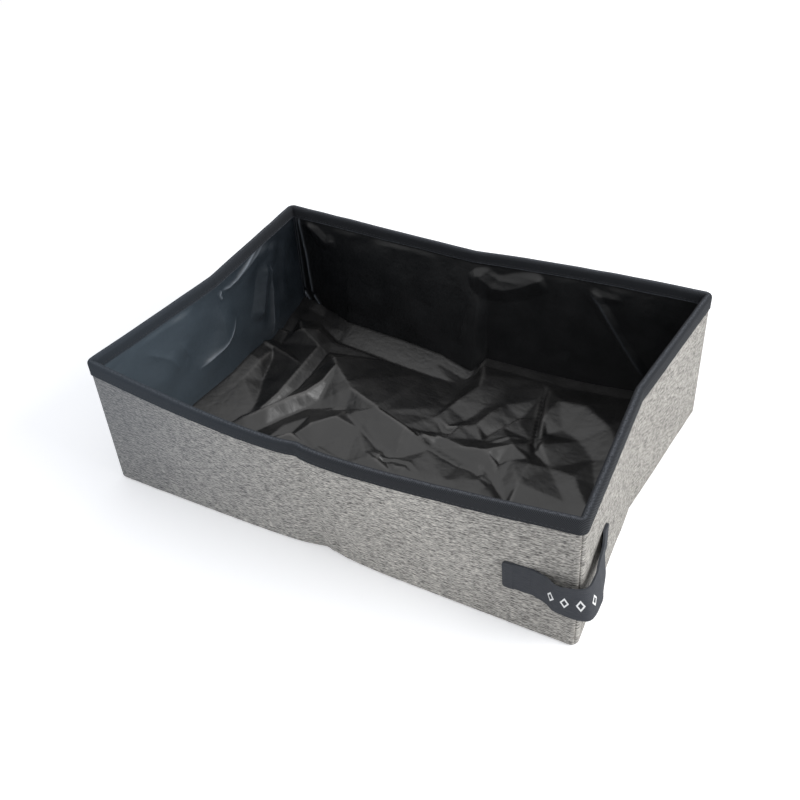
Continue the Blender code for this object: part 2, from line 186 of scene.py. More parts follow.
@frozen
class Fold:
    """A ridge or groove along a path on a piece of cloth.

    Attributes:
        path_mm: Points of the path, in the cloth's two coordinates.
        height_mm: Height of the ridge, below zero for a groove.
        width_mm: Distance over which the height falls away.
        flank: How it falls.
        fade: Share of the path over which each end dies away.
        pale: How strongly a highlight is painted along the crease, from 0 to 1.
    """

    path_mm: tuple[Pair, ...]
    height_mm: float
    width_mm: float
    flank: Flank = CRISP
    fade: float = 0.3
    pale: float = 0.0

    def measure(self, a: Array, b: Array) -> tuple[Array, Array]:
        """Distance from the path at each place, and the share of the fold that its ends leave there."""
        path = np.array(self.path_mm) * MM
        spans = np.linalg.norm(np.diff(path, axis=0), axis=1)
        before = np.concatenate([[0.0], np.cumsum(spans)])
        nearest = np.full(np.shape(a), np.inf)
        place = np.zeros(np.shape(a))
        for start, end, span, done in zip(path, path[1:], spans, before):
            line = end - start
            share = np.clip(((a - start[0]) * line[0] + (b - start[1]) * line[1]) / span**2, 0, 1)
            away = np.hypot(a - start[0] - share * line[0], b - start[1] - share * line[1])
            closer = away < nearest
            place = np.where(closer, (done + share * span) / before[-1], place)
            nearest = np.where(closer, away, nearest)
        return nearest, ease(np.minimum(place, 1 - place) / self.fade)

    def relief(self, a: Array, b: Array) -> Array:
        """Height over the cloth: the fold's height times a fall with distance times its end fade."""
        nearest, ends = self.measure(a, b)
        off = nearest / (self.width_mm * MM)
        falls = {CRISP: np.exp(-off), SOFT: np.exp(-(off**2)), FLAT: np.clip(1 - off, 0, 1)}
        return self.height_mm * MM * falls[self.flank] * ends

    def highlighting(self, a: Array, b: Array) -> Array:
        """Painted highlight along the crease: a bell curve about a millimetre wide each way, times the end
        fade.
        """
        nearest, ends = self.measure(a, b)
        return self.pale * np.exp(-((nearest / HIGHLIGHT_REACH) ** 2)) * ends


def relief_of(folds: Iterable[Fold], a: Array, b: Array) -> Array:
    """The folds' heights added together over the cloth."""
    total = np.zeros(np.shape(a))
    for fold in folds:
        total = total + fold.relief(a, b)
    return total


def smooth_line(points: Array, steps: int) -> Array:
    """A Catmull-Rom curve through points: each span is a cubic that takes its slopes from its neighbours."""
    padded = np.vstack([2 * points[0] - points[1], points, 2 * points[-1] - points[-2]])
    a, b, c, d = (padded[i : len(padded) - 3 + i, None] for i in range(4))
    t = np.linspace(0, 1, steps, endpoint=False)[None, :, None]
    spans = 0.5 * (2 * b + (c - a) * t + (2 * a - 5 * b + 4 * c - d) * t**2 + (3 * b - a - 3 * c + d) * t**3)
    return np.vstack([spans.reshape(-1, points.shape[1]), points[-1]])


def unit(vectors: Array) -> Array:
    """Vectors brought to length 1."""
    return vectors / np.linalg.norm(vectors, axis=-1, keepdims=True)


def joined(*parts: Array) -> Array:
    """Coordinates put together into points."""
    return np.stack(np.broadcast_arrays(*parts), axis=-1)


def grid_of(*lines: Array) -> list[Array]:
    """Every pairing of two lines of numbers, the first along the rows."""
    return np.meshgrid(*lines, indexing="ij")


# Meshes

# Painted light and shade in a bluish grey, whole near the rim's front left corner: painted shade on the
# canvas, a painted sheen on the side walls' lining and the tape.
PAINTED_LIGHT_FROM = (-0.216, -0.160, 0.127)  # the rim's front left corner
PAINTED_LIGHT_WHOLE, PAINTED_LIGHT_FADE = 0.02, 0.28  # where the painted light starts to fade, and over how far
PAINTED_BRIGHTNESS_MOST, PAINTED_BRIGHTNESS_DROP = 1.26, 0.28  # painted light: the canvas's brightness factor at the middle, and its fall towards the corners
PAINTED_BRIGHTNESS_FROM, PAINTED_BRIGHTNESS_OVER = 0.10, 0.105  # distance from the middle where it falls, and over how far
SHARP_ANGLE = math.radians(60)  # edges that bend further are shaded sharp


@dataclass
class Surface:
    """Points and faces on their way to a mesh, each point with its place on the cloth in metres."""

    points: Array
    faces: list[tuple[int, ...]]
    cloth: Array
    finish: int = 0
    # strength of a highlight painted at each point, if any
    pale: Array | None = None

    @classmethod
    def of_quads(cls, points: Array, quads: Array, cloth: Array) -> "Surface":
        """A surface from arrays of any shape."""
        return cls(points.reshape(-1, 3), list(map(tuple, quads.tolist())), cloth.reshape(-1, 2))

    @classmethod
    def grid(cls, points: Array, cloth: Array, flip: bool) -> "Surface":
        """A sheet through a grid of points, facing first direction cross second, or back if flipped."""
        rows, columns = points.shape[:2]
        corner = (np.arange(rows - 1)[:, None] * columns + np.arange(columns - 1)).ravel()
        quads = np.stack([corner, corner + columns, corner + columns + 1, corner + 1], axis=1)
        return cls.of_quads(points, quads[:, ::-1] if flip else quads, cloth)

    @classmethod
    def strip(cls, face: Array, back: Array, cloth: Array, back_cloth: Array | None = None) -> "Surface":
        """A closed strip between a face and a back, each a grid of points, whose ends are capped."""
        rings = np.concatenate([face, back[:, ::-1]], axis=1)
        cloth = np.concatenate([cloth, (cloth if back_cloth is None else back_cloth)[:, ::-1]], axis=1)
        stations, around = rings.shape[:2]
        corner = (np.arange(stations - 1)[:, None] * around + np.arange(around)).ravel()
        step = np.where(corner % around == around - 1, 1 - around, 1)
        quads = np.stack([corner, corner + step, corner + step + around, corner + around], axis=1)
        across = np.arange(around // 2 - 1)
        cap = np.stack([across, around - 1 - across, around - 2 - across, across + 1], axis=1)
        last_cap = cap[:, ::-1] + (stations - 1) * around
        return cls.of_quads(rings, np.concatenate([quads, cap, last_cap]), cloth)


def places_shade(points: Array) -> dict[str, Array]:
    """Painted light and shade: how the cloths' colour changes with the place on the tray, for each point of
    a piece at rest.

    Returns:
        bloom: painted light and shade in a bluish grey, whole at the rim's front left corner and gone 300 mm
            away.
        fading: a painted light factor on the colour, brightest where the long walls bow out.
    """
    away = np.linalg.norm(points - np.array(PAINTED_LIGHT_FROM), axis=1)
    return {
        "bloom": 1 - ease((away - PAINTED_LIGHT_WHOLE) / PAINTED_LIGHT_FADE),
        "fading": PAINTED_BRIGHTNESS_MOST - PAINTED_BRIGHTNESS_DROP * ease((np.abs(points[:, 0]) - PAINTED_BRIGHTNESS_FROM) / PAINTED_BRIGHTNESS_OVER),
    }


def make_object(
    name: str, surfaces: Sequence[Surface], finishes: Sequence["Finish"], outward: bool = False
) -> Piece:
    """Joins surfaces into one object at the origin, smooth shaded, with its cloth places as a UV map.

    Args:
        name: The piece's name.
        surfaces: What it is made of.
        finishes: Materials, in the order that the surfaces number them.
        outward: True to turn every closed shell's faces outwards.

    Returns:
        The new object.
    """
    points = np.concatenate([s.points for s in surfaces])
    cloth = np.concatenate([s.cloth for s in surfaces])
    firsts = np.cumsum([0] + [len(s.points) for s in surfaces])
    faces = [tuple(i + int(first) for i in face) for s, first in zip(surfaces, firsts) for face in s.faces]
    mesh = bpy.data.meshes.new(name)
    mesh.from_pydata(points.tolist(), [], faces)
    corners = np.zeros(len(mesh.loops), dtype=np.int32)
    mesh.loops.foreach_get("vertex_index", corners)
    mesh.uv_layers.new(name="cloth").data.foreach_set("uv", cloth[corners].astype(np.float32).ravel())
    # highlights painted along creases, where the surfaces have them
    pale = np.concatenate([np.zeros(len(s.points)) if s.pale is None else s.pale.ravel() for s in surfaces])
    shades = places_shade(points) | ({"pale": pale} if pale.any() else {})
    for shade, values in shades.items():
        mesh.attributes.new(shade, "FLOAT", "POINT").data.foreach_set("value", values.astype(np.float32))
    slots = np.repeat([s.finish for s in surfaces], [len(s.faces) for s in surfaces])
    mesh.polygons.foreach_set("material_index", slots)
    for finish in finishes:
        mesh.materials.append(finish.material())
    mesh.shade_smooth()
    if outward:
        turn_outward(mesh)
    sharpen(mesh)
    LOG.info("%s: %d faces", name, len(faces))
    return add_object(name, mesh)


def add_object(name: str, data: bpy.types.ID) -> Piece:
    """A new object in the scene, at the origin."""
    made = bpy.data.objects.new(name, data)
    bpy.context.scene.collection.objects.link(made)
    return made


def sharpen(mesh: bpy.types.Mesh) -> None:
    """Shades sharp the edges that bend far, and an open sheet's rim: cut cloth shows no dark line then."""
    mesh.set_sharp_from_angle(angle=SHARP_ANGLE)
    used = np.zeros(len(mesh.loops), dtype=np.int32)
    mesh.loops.foreach_get("edge_index", used)
    sharp = np.zeros(len(mesh.edges), dtype=bool)
    mesh.edges.foreach_get("use_edge_sharp", sharp)
    mesh.edges.foreach_set("use_edge_sharp", sharp | (np.bincount(used, minlength=len(sharp)) == 1))


def turn_outward(mesh: bpy.types.Mesh) -> None:
    """Turns the faces of each closed shell outwards."""
    work = bmesh.new()
    work.from_mesh(mesh)
    bmesh.ops.recalc_face_normals(work, faces=work.faces)
    work.to_mesh(mesh)
    work.free()


def thicken(piece: Piece, thickness: float) -> None:
    """Gives a sheet its thickness, on the side that its faces turn away from."""
    solid = piece.modifiers.new("thickness", "SOLIDIFY")
    solid.thickness = thickness
    solid.offset = -1.0


# Materials


def colour(code: str) -> tuple[float, float, float, float]:
    """An sRGB hex colour as linear RGBA."""
    values = [int(code[i : i + 2], 16) / 255 for i in (1, 3, 5)]
    linear = [v / 12.92 if v <= 0.04045 else ((v + 0.055) / 1.055) ** 2.4 for v in values]
    return (*linear, 1.0)


def plug(tree: Tree, node: bpy.types.Node, inputs: dict) -> None:
    """Gives each input of a node, by name or number, a plain value or another node's socket."""
    for key, value in inputs.items():
        if isinstance(value, Socket):
            tree.links.new(value, node.inputs[key])
        else:
            node.inputs[key].default_value = value


def add_node(tree: Tree, kind: str, inputs: dict | None = None, **settings: object) -> bpy.types.Node:
    """Adds a node.

    Args:
        tree: The material's node tree.
        kind: The node's type, without the words that all shader nodes start with.
        inputs: A value or another node's socket for each input, by name or number.
        **settings: The node's own properties.

    Returns:
        The node.
    """
    node = tree.nodes.new("ShaderNode" + kind)
    for key, value in settings.items():
        setattr(node, key, value)
    plug(tree, node, inputs or {})
    return node


def maths(tree: Tree, operation: str, *values: Socket | float) -> Socket:
    """The result of an operation on one or two numbers."""
    return add_node(tree, "Math", dict(enumerate(values)), operation=operation).outputs[0]


def sine(tree: Tree, turns: Socket) -> Socket:
    """The sine of a number of whole turns."""
    return maths(tree, "SINE", maths(tree, "MULTIPLY", turns, 2 * math.pi))


def scaled(tree: Tree, tint: Socket, factor: Socket) -> Socket:
    """A colour times a factor."""
    return add_node(tree, "VectorMath", {0: tint, "Scale": factor}, operation="SCALE").outputs[0]


def blend_colours(tree: Tree, share: Socket | float, first: object, second: object) -> Socket:
    """The colour that lies between two, by a share from 0 to 1."""
    return add_node(tree, "Mix", {"Factor": share, 6: first, 7: second}, data_type="RGBA").outputs[2]


def ramp(
    tree: Tree, value: Socket, low: float, high: float, at_low: float = 0.0, at_high: float = 1.0
) -> Socket:
    """A value stretched so that low becomes at_low and high becomes at_high, held between them."""
    return add_node(tree, "MapRange", {0: value, 1: low, 2: high, 3: at_low, 4: at_high}).outputs[0]


def carried(tree: Tree, name: str) -> Socket:
    """A number that the mesh carries at each point."""
    return add_node(tree, "Attribute", attribute_name=name).outputs["Fac"]


def cells(tree: Tree, along: float, up: float) -> Socket:
    """The piece's cloth coordinates, counted in cells of these two sizes in millimetres."""
    source = add_node(tree, "UVMap", uv_map="cloth").outputs[0]
    scale = (1 / (along * MM), 1 / (up * MM), 1.0)
    return add_node(tree, "Mapping", {"Vector": source, "Scale": scale}).outputs[0]


def noise(tree: Tree, place: Socket, detail: float, roughness: float = 0.5) -> Socket:
    """A noise whose lumps are one cell large."""
    inputs = {"Vector": place, "Scale": 1.0, "Detail": detail, "Roughness": roughness}
    return add_node(tree, "TexNoise", inputs).outputs[0]


def weave(tree: Tree, along: float, up: float) -> Socket:
    """Crossing threads: the product of a sine along the cloth and a sine up it, of these pitches in mm."""
    split = add_node(tree, "SeparateXYZ", {0: cells(tree, along, up)}).outputs
    return maths(tree, "MULTIPLY", sine(tree, split[0]), sine(tree, split[1]))


def bump(tree: Tree, height: Socket, depth: float, below: Socket | None = None) -> Socket:
    """A normal that shows a height whose full range is depth millimetres, over another normal."""
    inputs = {"Height": height, "Distance": depth * MM, "Strength": 1.0}
    return add_node(tree, "Bump", inputs | ({"Normal": below} if below else {})).outputs[0]


def under_painted_light(tree: Tree, ground: Socket, bloom: str, most: float) -> Socket:
    """A colour under a painted bluish grey light, whose share is most times the piece's bloom attribute."""
    share = maths(tree, "MULTIPLY", carried(tree, "bloom"), most)
    return blend_colours(tree, share, ground, colour(bloom))


def seen_directly(tree: Tree) -> Socket:
    """One for rays from the camera, a mirror or glass, and zero for the light that falls on things."""
    path = add_node(tree, "LightPath").outputs
    either = maths(tree, "MAXIMUM", path["Is Camera Ray"], path["Is Glossy Ray"])
    return maths(tree, "MAXIMUM", either, path["Is Transmission Ray"])


@frozen
class Finish:
    """A material. Subclasses add their pattern in paint.

    Attributes:
        name: The material's name in Blender.
        base: Main colour.
        roughness: Roughness of the surface.
        ior: Index of refraction.
    """

    name: str
    base: str
    roughness: float
    ior: float = 1.5

    def material(self) -> bpy.types.Material:
        """The finish as a material, made on first use."""
        found = bpy.data.materials.get(self.name)
        if found:
            return found
        made = bpy.data.materials.new(self.name)
        made.use_nodes = True
        tree = made.node_tree
        shader = tree.nodes["Principled BSDF"]
        plain = {"Base Color": colour(self.base), "Roughness": self.roughness, "IOR": self.ior}
        plug(tree, shader, plain)
        plug(tree, shader, self.paint(tree))
        return made

    def paint(self, tree: Tree) -> dict:
        """The finish's own pattern, as the inputs of its shader. The plain finish has none."""
        return {}


@frozen
class HeatherCanvas(Finish):
    """Polyester canvas woven from yarns dyed in two greys.

    Each weft yarn shows as a run of light or dark a few millimetres long and one thread high, so the
    cloth reads as fine level streaks over slow clouds of tone.
    """

    dark: str = "#585654"
    light: str = "#cfcbc3"
    # painted shade: the canvas is mixed towards this bluish grey near the rim's front left corner
    bloom: str = "#6f757d"
    painted_light_most: float = 0.5
    streak_mm: float = 9.0
    thread_mm: float = 0.9
    warp_mm: float = 1.1
    thread_depth_mm: float = 0.10
    fleck_depth_mm: float = 0.22
    cloud_mm: Pair = (60.0, 34.0)

    def paint(self, tree: Tree) -> dict:
        """Mixes dark and light yarn by two noises drawn out along the cloth, then paints light and shade on
        it by place.
        """
        long_runs = noise(tree, cells(tree, self.streak_mm, self.thread_mm), 1.0)
        short_runs = noise(tree, cells(tree, self.streak_mm / 3, self.thread_mm * 0.9), 1.0)
        clouds = noise(tree, cells(tree, *self.cloud_mm), 3.0, 0.55)
        yarns = (colour(self.dark), colour(self.light))
        ground = blend_colours(tree, ramp(tree, long_runs, 0.40, 0.60), *yarns)
        fleck = blend_colours(tree, ramp(tree, short_runs, 0.40, 0.62), *yarns)
        yarn = blend_colours(tree, 0.5, ground, fleck)
        tone = scaled(tree, yarn, ramp(tree, clouds, 0.3, 0.7, 0.92, 1.08))
        # painted light: brighter where the long walls bow out, and a bluish painted shade near the rim's
        # front left corner
        brightened = scaled(tree, tone, carried(tree, "fading"))
        threads = bump(tree, weave(tree, self.warp_mm, self.thread_mm), self.thread_depth_mm)
        return {
            "Base Color": under_painted_light(tree, brightened, self.bloom, self.painted_light_most),
            "Normal": bump(tree, short_runs, self.fleck_depth_mm, threads),
            "Specular IOR Level": 0.2,
        }


@frozen
class CoatedTaffeta(Finish):
    """Polyester taffeta with a black polyurethane coat on its wet side.

    The coat gives a soft even gloss, with duller scuffed clouds and hair-fine crush lines, and has a
    highlight painted along its sharp creases.
    """

    scuffed: str = "#3a3a3a"
    scuff: float = 0.5
    scuff_mm: float = 26.0
    # painted sheen: a bluish grey that the coat is mixed towards near the rim's front left corner, where one
    # is given
    bloom: str = ""
    painted_light_most: float = 0.62
    crush: float = 0.3
    facet_mm: float = 9.0
    roll_mm: Pair = (13.0, 10.0)
    grain_mm: float = 1.6
    grain_depth_mm: float = 0.04
    # painted highlight: the colour mixed in along sharp creases
    creased: str = "#868d95"

    def paint(self, tree: Tree) -> dict:
        """Scuffs colour and gloss by one cloud, paints its highlights and sheen, and crumples it with facets
        and soft creases.
        """
        scuffs = noise(tree, cells(tree, self.scuff_mm, self.scuff_mm), 3.0, 0.55)
        share = maths(tree, "MULTIPLY", ramp(tree, scuffs, 0.35, 0.72), self.scuff)
        ground = blend_colours(tree, share, colour(self.base), colour(self.scuffed))
        if self.bloom:
            ground = under_painted_light(tree, ground, self.bloom, self.painted_light_most)
        inputs = {"Vector": cells(tree, self.facet_mm, self.facet_mm), "Scale": 1.0}
        facets = add_node(tree, "TexVoronoi", inputs, feature="DISTANCE_TO_EDGE").outputs[0]
        crushed = bump(tree, ramp(tree, facets, 0.0, 0.3), self.crush * 0.2)
        rolling = bump(tree, noise(tree, cells(tree, *self.roll_mm), 2.0), self.crush, crushed)
        grain = noise(tree, cells(tree, self.grain_mm, self.grain_mm), 2.0)
        return {
            # painted highlight along the creases
            "Base Color": blend_colours(tree, carried(tree, "pale"), ground, colour(self.creased)),
            "Roughness": ramp(tree, scuffs, 0.3, 0.7, self.roughness - 0.04, self.roughness + 0.06),
            "Normal": bump(tree, grain, self.grain_depth_mm, rolling),
        }


@frozen
class TwillTape(Finish):
    """Woven polyester binding tape in charcoal with slanted ribs, and a patchy highlight painted along the
    rim and the inner edge.
    """

    # pale grey of the rib crests and of the painted highlights
    worn: str = "#676a70"
    # painted sheen: a bluish grey that the tape is mixed towards near the rim's front left corner
    bloom: str = "#434b53"
    painted_light_most: float = 0.5
    rib_mm: float = 1.5
    fuzz_mm: Pair = (2.0, 1.3)
    # where across the tape the painted highlights lie: the rim's top and the inner edge
    top_mm: float = 0.0
    edge_mm: float = 0.0

    def paint(self, tree: Tree) -> dict:
        """Slanted ribs from a sine of the two cloth places added, with highlights painted on the rim and the
        inner edge.
        """
        split = add_node(tree, "SeparateXYZ", {0: cells(tree, self.rib_mm, self.rib_mm)}).outputs
        ribs = sine(tree, maths(tree, "ADD", split[0], split[1]))
        fuzz = noise(tree, cells(tree, *self.fuzz_mm), 3.0, 0.7)
        worn = colour(self.worn)
        ground = blend_colours(tree, ramp(tree, ribs, -1.4, 6.0), colour(self.base), worn)
        # patchy painted highlights along the rim's top and the inner edge, broken up by the fuzz
        for middle, reach, most in ((self.top_mm, 1.9, 0.75), (self.edge_mm, 1.2, 0.9)):
            near = self.near(tree, middle, reach, most)
            patchy = maths(tree, "MULTIPLY", near, ramp(tree, fuzz, 0.36, 0.62))
            ground = blend_colours(tree, patchy, ground, worn)
        return {
            "Base Color": under_painted_light(tree, ground, self.bloom, self.painted_light_most),
            "Normal": bump(tree, fuzz, 0.3, bump(tree, ribs, 0.12)),
            "Specular IOR Level": 0.15,
        }

    @staticmethod
    def near(tree: Tree, middle: float, reach: float, most: float) -> Socket:
        """A share that is most at a place across the tape, in millimetres, and nothing at reach from it."""
        row = add_node(tree, "SeparateXYZ", {0: cells(tree, 1, 1)}).outputs[1]
        away = maths(tree, "ABSOLUTE", maths(tree, "SUBTRACT", row, middle))
        return ramp(tree, away, 0.0, reach, most, 0.0)


@frozen
class Webbing(Finish):
    """Plain-woven polyester webbing: close cross ribs with a faint sheen and paler worn threads."""

    worn: str = "#48494d"
    rib_mm: float = 1.1
    thread_mm: Pair = (7.0, 0.9)

    def paint(self, tree: Tree) -> dict:
        """Cross ribs from the weave, and a drawn-out noise that lightens some threads."""
        threads = noise(tree, cells(tree, *self.thread_mm), 3.0, 0.65)
        ribs = bump(tree, weave(tree, self.rib_mm, self.rib_mm * 1.4), 0.12)
        lightened = ramp(tree, threads, 0.35, 0.85)
        return {
            "Base Color": blend_colours(tree, lightened, colour(self.base), colour(self.worn)),
            "Normal": bump(tree, threads, 0.16, ribs),
            "Specular IOR Level": 0.35,
        }


@frozen
class SpunThread(Finish):
    """Spun polyester sewing thread: a smooth twist that catches small lights."""

    def paint(self, tree: Tree) -> dict:
        """A fine noise along the thread for its twist."""
        return {"Normal": bump(tree, noise(tree, cells(tree, 0.8, 0.5), 2.0), 0.1)}


@frozen
class ScreenInk(Finish):
    """Thick white screen-print ink on webbing: matt, slightly uneven at the rim of each mark."""

    def paint(self, tree: Tree) -> dict:
        """Shows the ribs of the webbing through the ink."""
        return {"Normal": bump(tree, weave(tree, 1.1, 1.54), 0.06)}


@frozen
class PressedBoard(Finish):
    """Extruded polypropylene board: off-white, satin, with faint flow lines from the die."""

    def paint(self, tree: Tree) -> dict:
        """Flow lines from a noise drawn out along the board."""
        place = add_node(tree, "TexCoord").outputs["Object"]
        drawn = add_node(tree, "Mapping", {"Vector": place, "Scale": (30.0, 30.0, 800.0)}).outputs[0]
        return {"Normal": bump(tree, noise(tree, drawn, 3.0), 0.1)}


# Finishes of the tray

CANVAS = HeatherCanvas("heather_polyester_canvas", "#9a9893", 0.92)
WALL_COAT = CoatedTaffeta("polyurethane_coated_taffeta_walls", "#0b0c0e", 0.42, scuffed="#191a1c")
# painted light: the side walls' lining is the same coated taffeta as the other walls, painted a lighter
# blue-grey for the sky light on it, with a painted sheen near the rim's front left corner
SKY_LIT_SIDE_COAT = CoatedTaffeta(
    "polyurethane_coated_taffeta_sides", "#12171c", 0.42, scuffed="#222930", bloom="#5b6872"
)
# the floor's creased is a highlight painted along its crests
FLOOR_COAT = CoatedTaffeta(
    "polyurethane_coated_taffeta_floor", "#0b0b0c", 0.36, 1.7,
    scuffed="#1f1e1d", crush=0.35, creased="#8a8784",
)
THREAD = SpunThread("spun_polyester_thread", "#2c2d31", 0.55)
GREY_THREAD = SpunThread("spun_polyester_thread_grey", "#3a3b3f", 0.7)
STRAP_CLOTH = Webbing("polyester_webbing", "#373a3f", 0.85)
INK = ScreenInk("white_screen_ink", "#e9e9e7", 0.6)
BOARD = PressedBoard("polypropylene_board", "#c9c9c5", 0.5)


# The tray's own shape


@frozen
class Motion:
    """How a piece moves: with one body; a piece between two bodies that share a hinge stays where it is.

    Attributes:
        bodies: One body, or the two on either side of a hinge.
        start: Where a bend would start, for two bodies. Not used.
        end: Where a bend would end. Not used.
    """

    bodies: tuple[str, ...]
    start: Spot = (0.0, 0.0, 0.0)
    end: Spot = (0.0, 0.0, 0.0)

    def attach(self, piece: Piece) -> None:
        """Makes the piece follow its one body, or bakes its place into its mesh when it has two."""
        if len(self.bodies) == 1:
            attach(piece, self.bodies[0])
        else:
            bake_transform(piece)


@frozen
class Zone:
    """A stretch of a wall that is one piece in each layer.

    Attributes:
        name: First part of the pieces' names.
        wall: The wall it is on.
        start: Where it starts along the wall.
        end: Where it ends.
        stems: First parts of the names of the frame's nodes that it stands for.
        bodies: The bodies that it moves with.
    """

    name: str
    wall: Wall
    start: float
    end: float
    stems: tuple[str, ...]
    bodies: tuple[str, ...]


@frozen
class TrayShape:
    """Sizes of the tray's walls and the functions that place points on them.

    A place on the front or back wall is its X. A place on a side wall is its distance from the fold at
    the middle, negative towards the front, and goes on round both corners.
    """

    hinge_x: float
    hinge_y: float
    corner_radius: float
    height: float
    prefold: float = math.radians(4.5)
    gathered: float = 1.4 * MM
    cover_thickness: float = 1.0 * MM
    lining_face: float = 4.4 * MM
    lining_thickness: float = 0.8 * MM
    front_bow: float = 19.0 * MM
    front_dent: float = 3.5 * MM
    front_dent_reach: float = 14.0 * MM
    front_tuck: float = 6.5 * MM
    front_tuck_reach: float = 24.0 * MM
    back_dip: float = 13.0 * MM
    back_lean_mm: tuple[Pair, ...] = (
        (-210, 0), (-186, 3), (-145, 19), (-79, 25), (-31, 31), (7, 37),
        (14, 18), (73, 14), (117, 9), (160, 4), (192, 0),
    )
    lean_top: float = 12.0 * MM
    rise_power: float = 1.2
    back_power: float = 2.2
    fold_round: float = 1.2 * MM
    least_radius: float = 1.0 * MM
    turn_rows: tuple[float, ...] = (-0.9 * MM, -0.45 * MM, 0.45 * MM, 0.9 * MM)

    @classmethod
    def from_frame(cls) -> "TrayShape":
        """Reads the hinge places from the frame's joints and the overall size from its nodes."""
        joint = next(j for j in frame["joints"] if j["name"] == "right_front_fold")
        hinge = joint["pos_m"]
        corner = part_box("right_front_outer_panel")[1].x
        return cls(hinge[0], -hinge[1], corner - hinge[0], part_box("front_rim_tape")[1].z)

    @property
    def half_length(self) -> float:
        """Half the outer length."""
        return self.hinge_x + self.corner_radius

    @property
    def half_width(self) -> float:
        """Half the outer width."""
        return self.hinge_y + self.corner_radius

    @property
    def side_half(self) -> float:
        """Length of half a side wall on its outer face."""
        return self.hinge_y / math.cos(self.prefold) - self.corner_radius * math.tan(self.prefold)

    @property
    def pinch(self) -> float:
        """How far a side wall's middle stands inwards of its corners."""
        return self.side_half * math.sin(self.prefold)

    def gather(self, piece: Piece, inset: float) -> None:
        """Gives the piece a mesh of its own.
        """
        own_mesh(piece)

    @property
    def quarter(self) -> float:
        """Length round a corner on the outer face."""
        return (math.pi / 2 + self.prefold) * self.corner_radius

    def back_lean(self, x: Array, z: Array) -> Array:
        """How far the slack lining hangs in from the back wall: most at its foot, nothing under the tape.

        A table gives the lean at the foot, which falls along a straight line to nothing at lean_top.
        """
        table = np.array(self.back_lean_mm) * MM
        return np.interp(x, table[:, 0], table[:, 1]) * np.clip(1 - z / (self.height - self.lean_top), 0, 1)

    def front_bulge(self, x: Array, z: Array) -> Array:
        """How far the front wall stands out: a cosine bow at the rim, less a dent and a tuck at the fold."""
        rise = np.clip(z / self.height, 0, 1)
        off = self.rounded(x)
        bow = self.front_bow * np.cos(math.pi / 2 * x / self.hinge_x) * rise**self.rise_power
        dent = self.front_dent * np.exp(-off / self.front_dent_reach) * rise
        tuck = self.front_tuck * np.exp(-off / self.front_tuck_reach) * (1 - rise)
        return bow - dent - tuck

    def back_bulge(self, x: Array, z: Array) -> Array:
        """The same for the back wall: its rim dips in to the fold, straight on the left and hollow right."""
        share = np.clip(1 - self.rounded(x) / self.hinge_x, 0, 1)
        dip = np.where(x < 0, share, share**self.back_power)
        return -self.back_dip * np.clip(z / self.height, 0, 1) * dip

    def rounded(self, along: Array) -> Array:
        """Distance from a fold, rounded at nothing: the root of two squares added, less the rounding."""
        return np.sqrt(along**2 + self.fold_round**2) - self.fold_round

    def place(self, wall: Wall, along: Array, depth: Array, z: Array) -> Array:
        """Points at a place along a wall, a depth under its outer face and a height.

        A long wall's point is its X with the face's Y less the depth. A side wall's point starts at the
        corner's hinge, goes along the straight half towards the fold, or turns about the hinge where it
        is past the corner, and stands off by the corner's radius less the depth.
        """
        along, depth, z = np.broadcast_arrays(along, depth, z)
        if wall not in SIDES:
            sign, bulge = (-1, self.front_bulge) if wall is Wall.FRONT else (1, self.back_bulge)
            return joined(along, sign * (self.half_width + bulge(along, z) - depth), z)
        sign_x = 1 if wall is Wall.RIGHT else -1
        sign_y = np.where(along < 0, -1.0, 1.0)
        off = self.rounded(along)
        off = off + (np.abs(along) - off) * np.clip(np.abs(along) / self.side_half, 0, 1)
        lean, level = math.sin(self.prefold), math.cos(self.prefold)
        radius = self.corner_radius - depth
        straight = (self.hinge_y - radius * lean) / level
        run = np.clip(1 - off / self.side_half, 0, 1) * straight
        turn = np.maximum(np.abs(along) - self.side_half, 0) / self.corner_radius
        face_x = np.cos(turn) * level + np.sin(turn) * lean
        face_y = -np.cos(turn) * lean + np.sin(turn) * level
        x = sign_x * (self.hinge_x - run * lean + radius * face_x)
        return joined(x, sign_y * (self.hinge_y - run * level + radius * face_y), z)

    def slack(self, across: Array, z: Array, front: Array, lean: float) -> Array:
        """How far a long wall's face stands outside its straight line, with a share of the lining's lean."""
        back = self.back_bulge(across, z) - lean * self.back_lean(across, z)
        return np.where(front, np.minimum(self.front_bulge(across, z), 0), back)

    def inside(
        self, s: Array, t: Array, z: Array, inset: float | Array, lean: float = 0.0
    ) -> tuple[Array, Array]:
        """Plan point at shares s and t of the half sizes, inset from the walls' outer faces at a height."""
        y = t * (self.half_width - inset + self.slack(s * self.half_length, z, t < 0, lean))
        pinch = self.pinch * np.clip(1 - np.abs(y) / self.hinge_y, 0, 1)
        return s * (self.half_length - inset - pinch), y

    def shares(self, x: Array, y: Array, z: Array, inset: float, lean: float = 0.0) -> tuple[Array, Array]:
        """The shares of the half sizes at a plan point: what inside takes."""
        s = x / (self.half_length - inset - self.pinch * np.clip(1 - np.abs(y) / self.hinge_y, 0, 1))
        return s, y / (self.half_width - inset + self.slack(s * self.half_length, z, y < 0, lean))

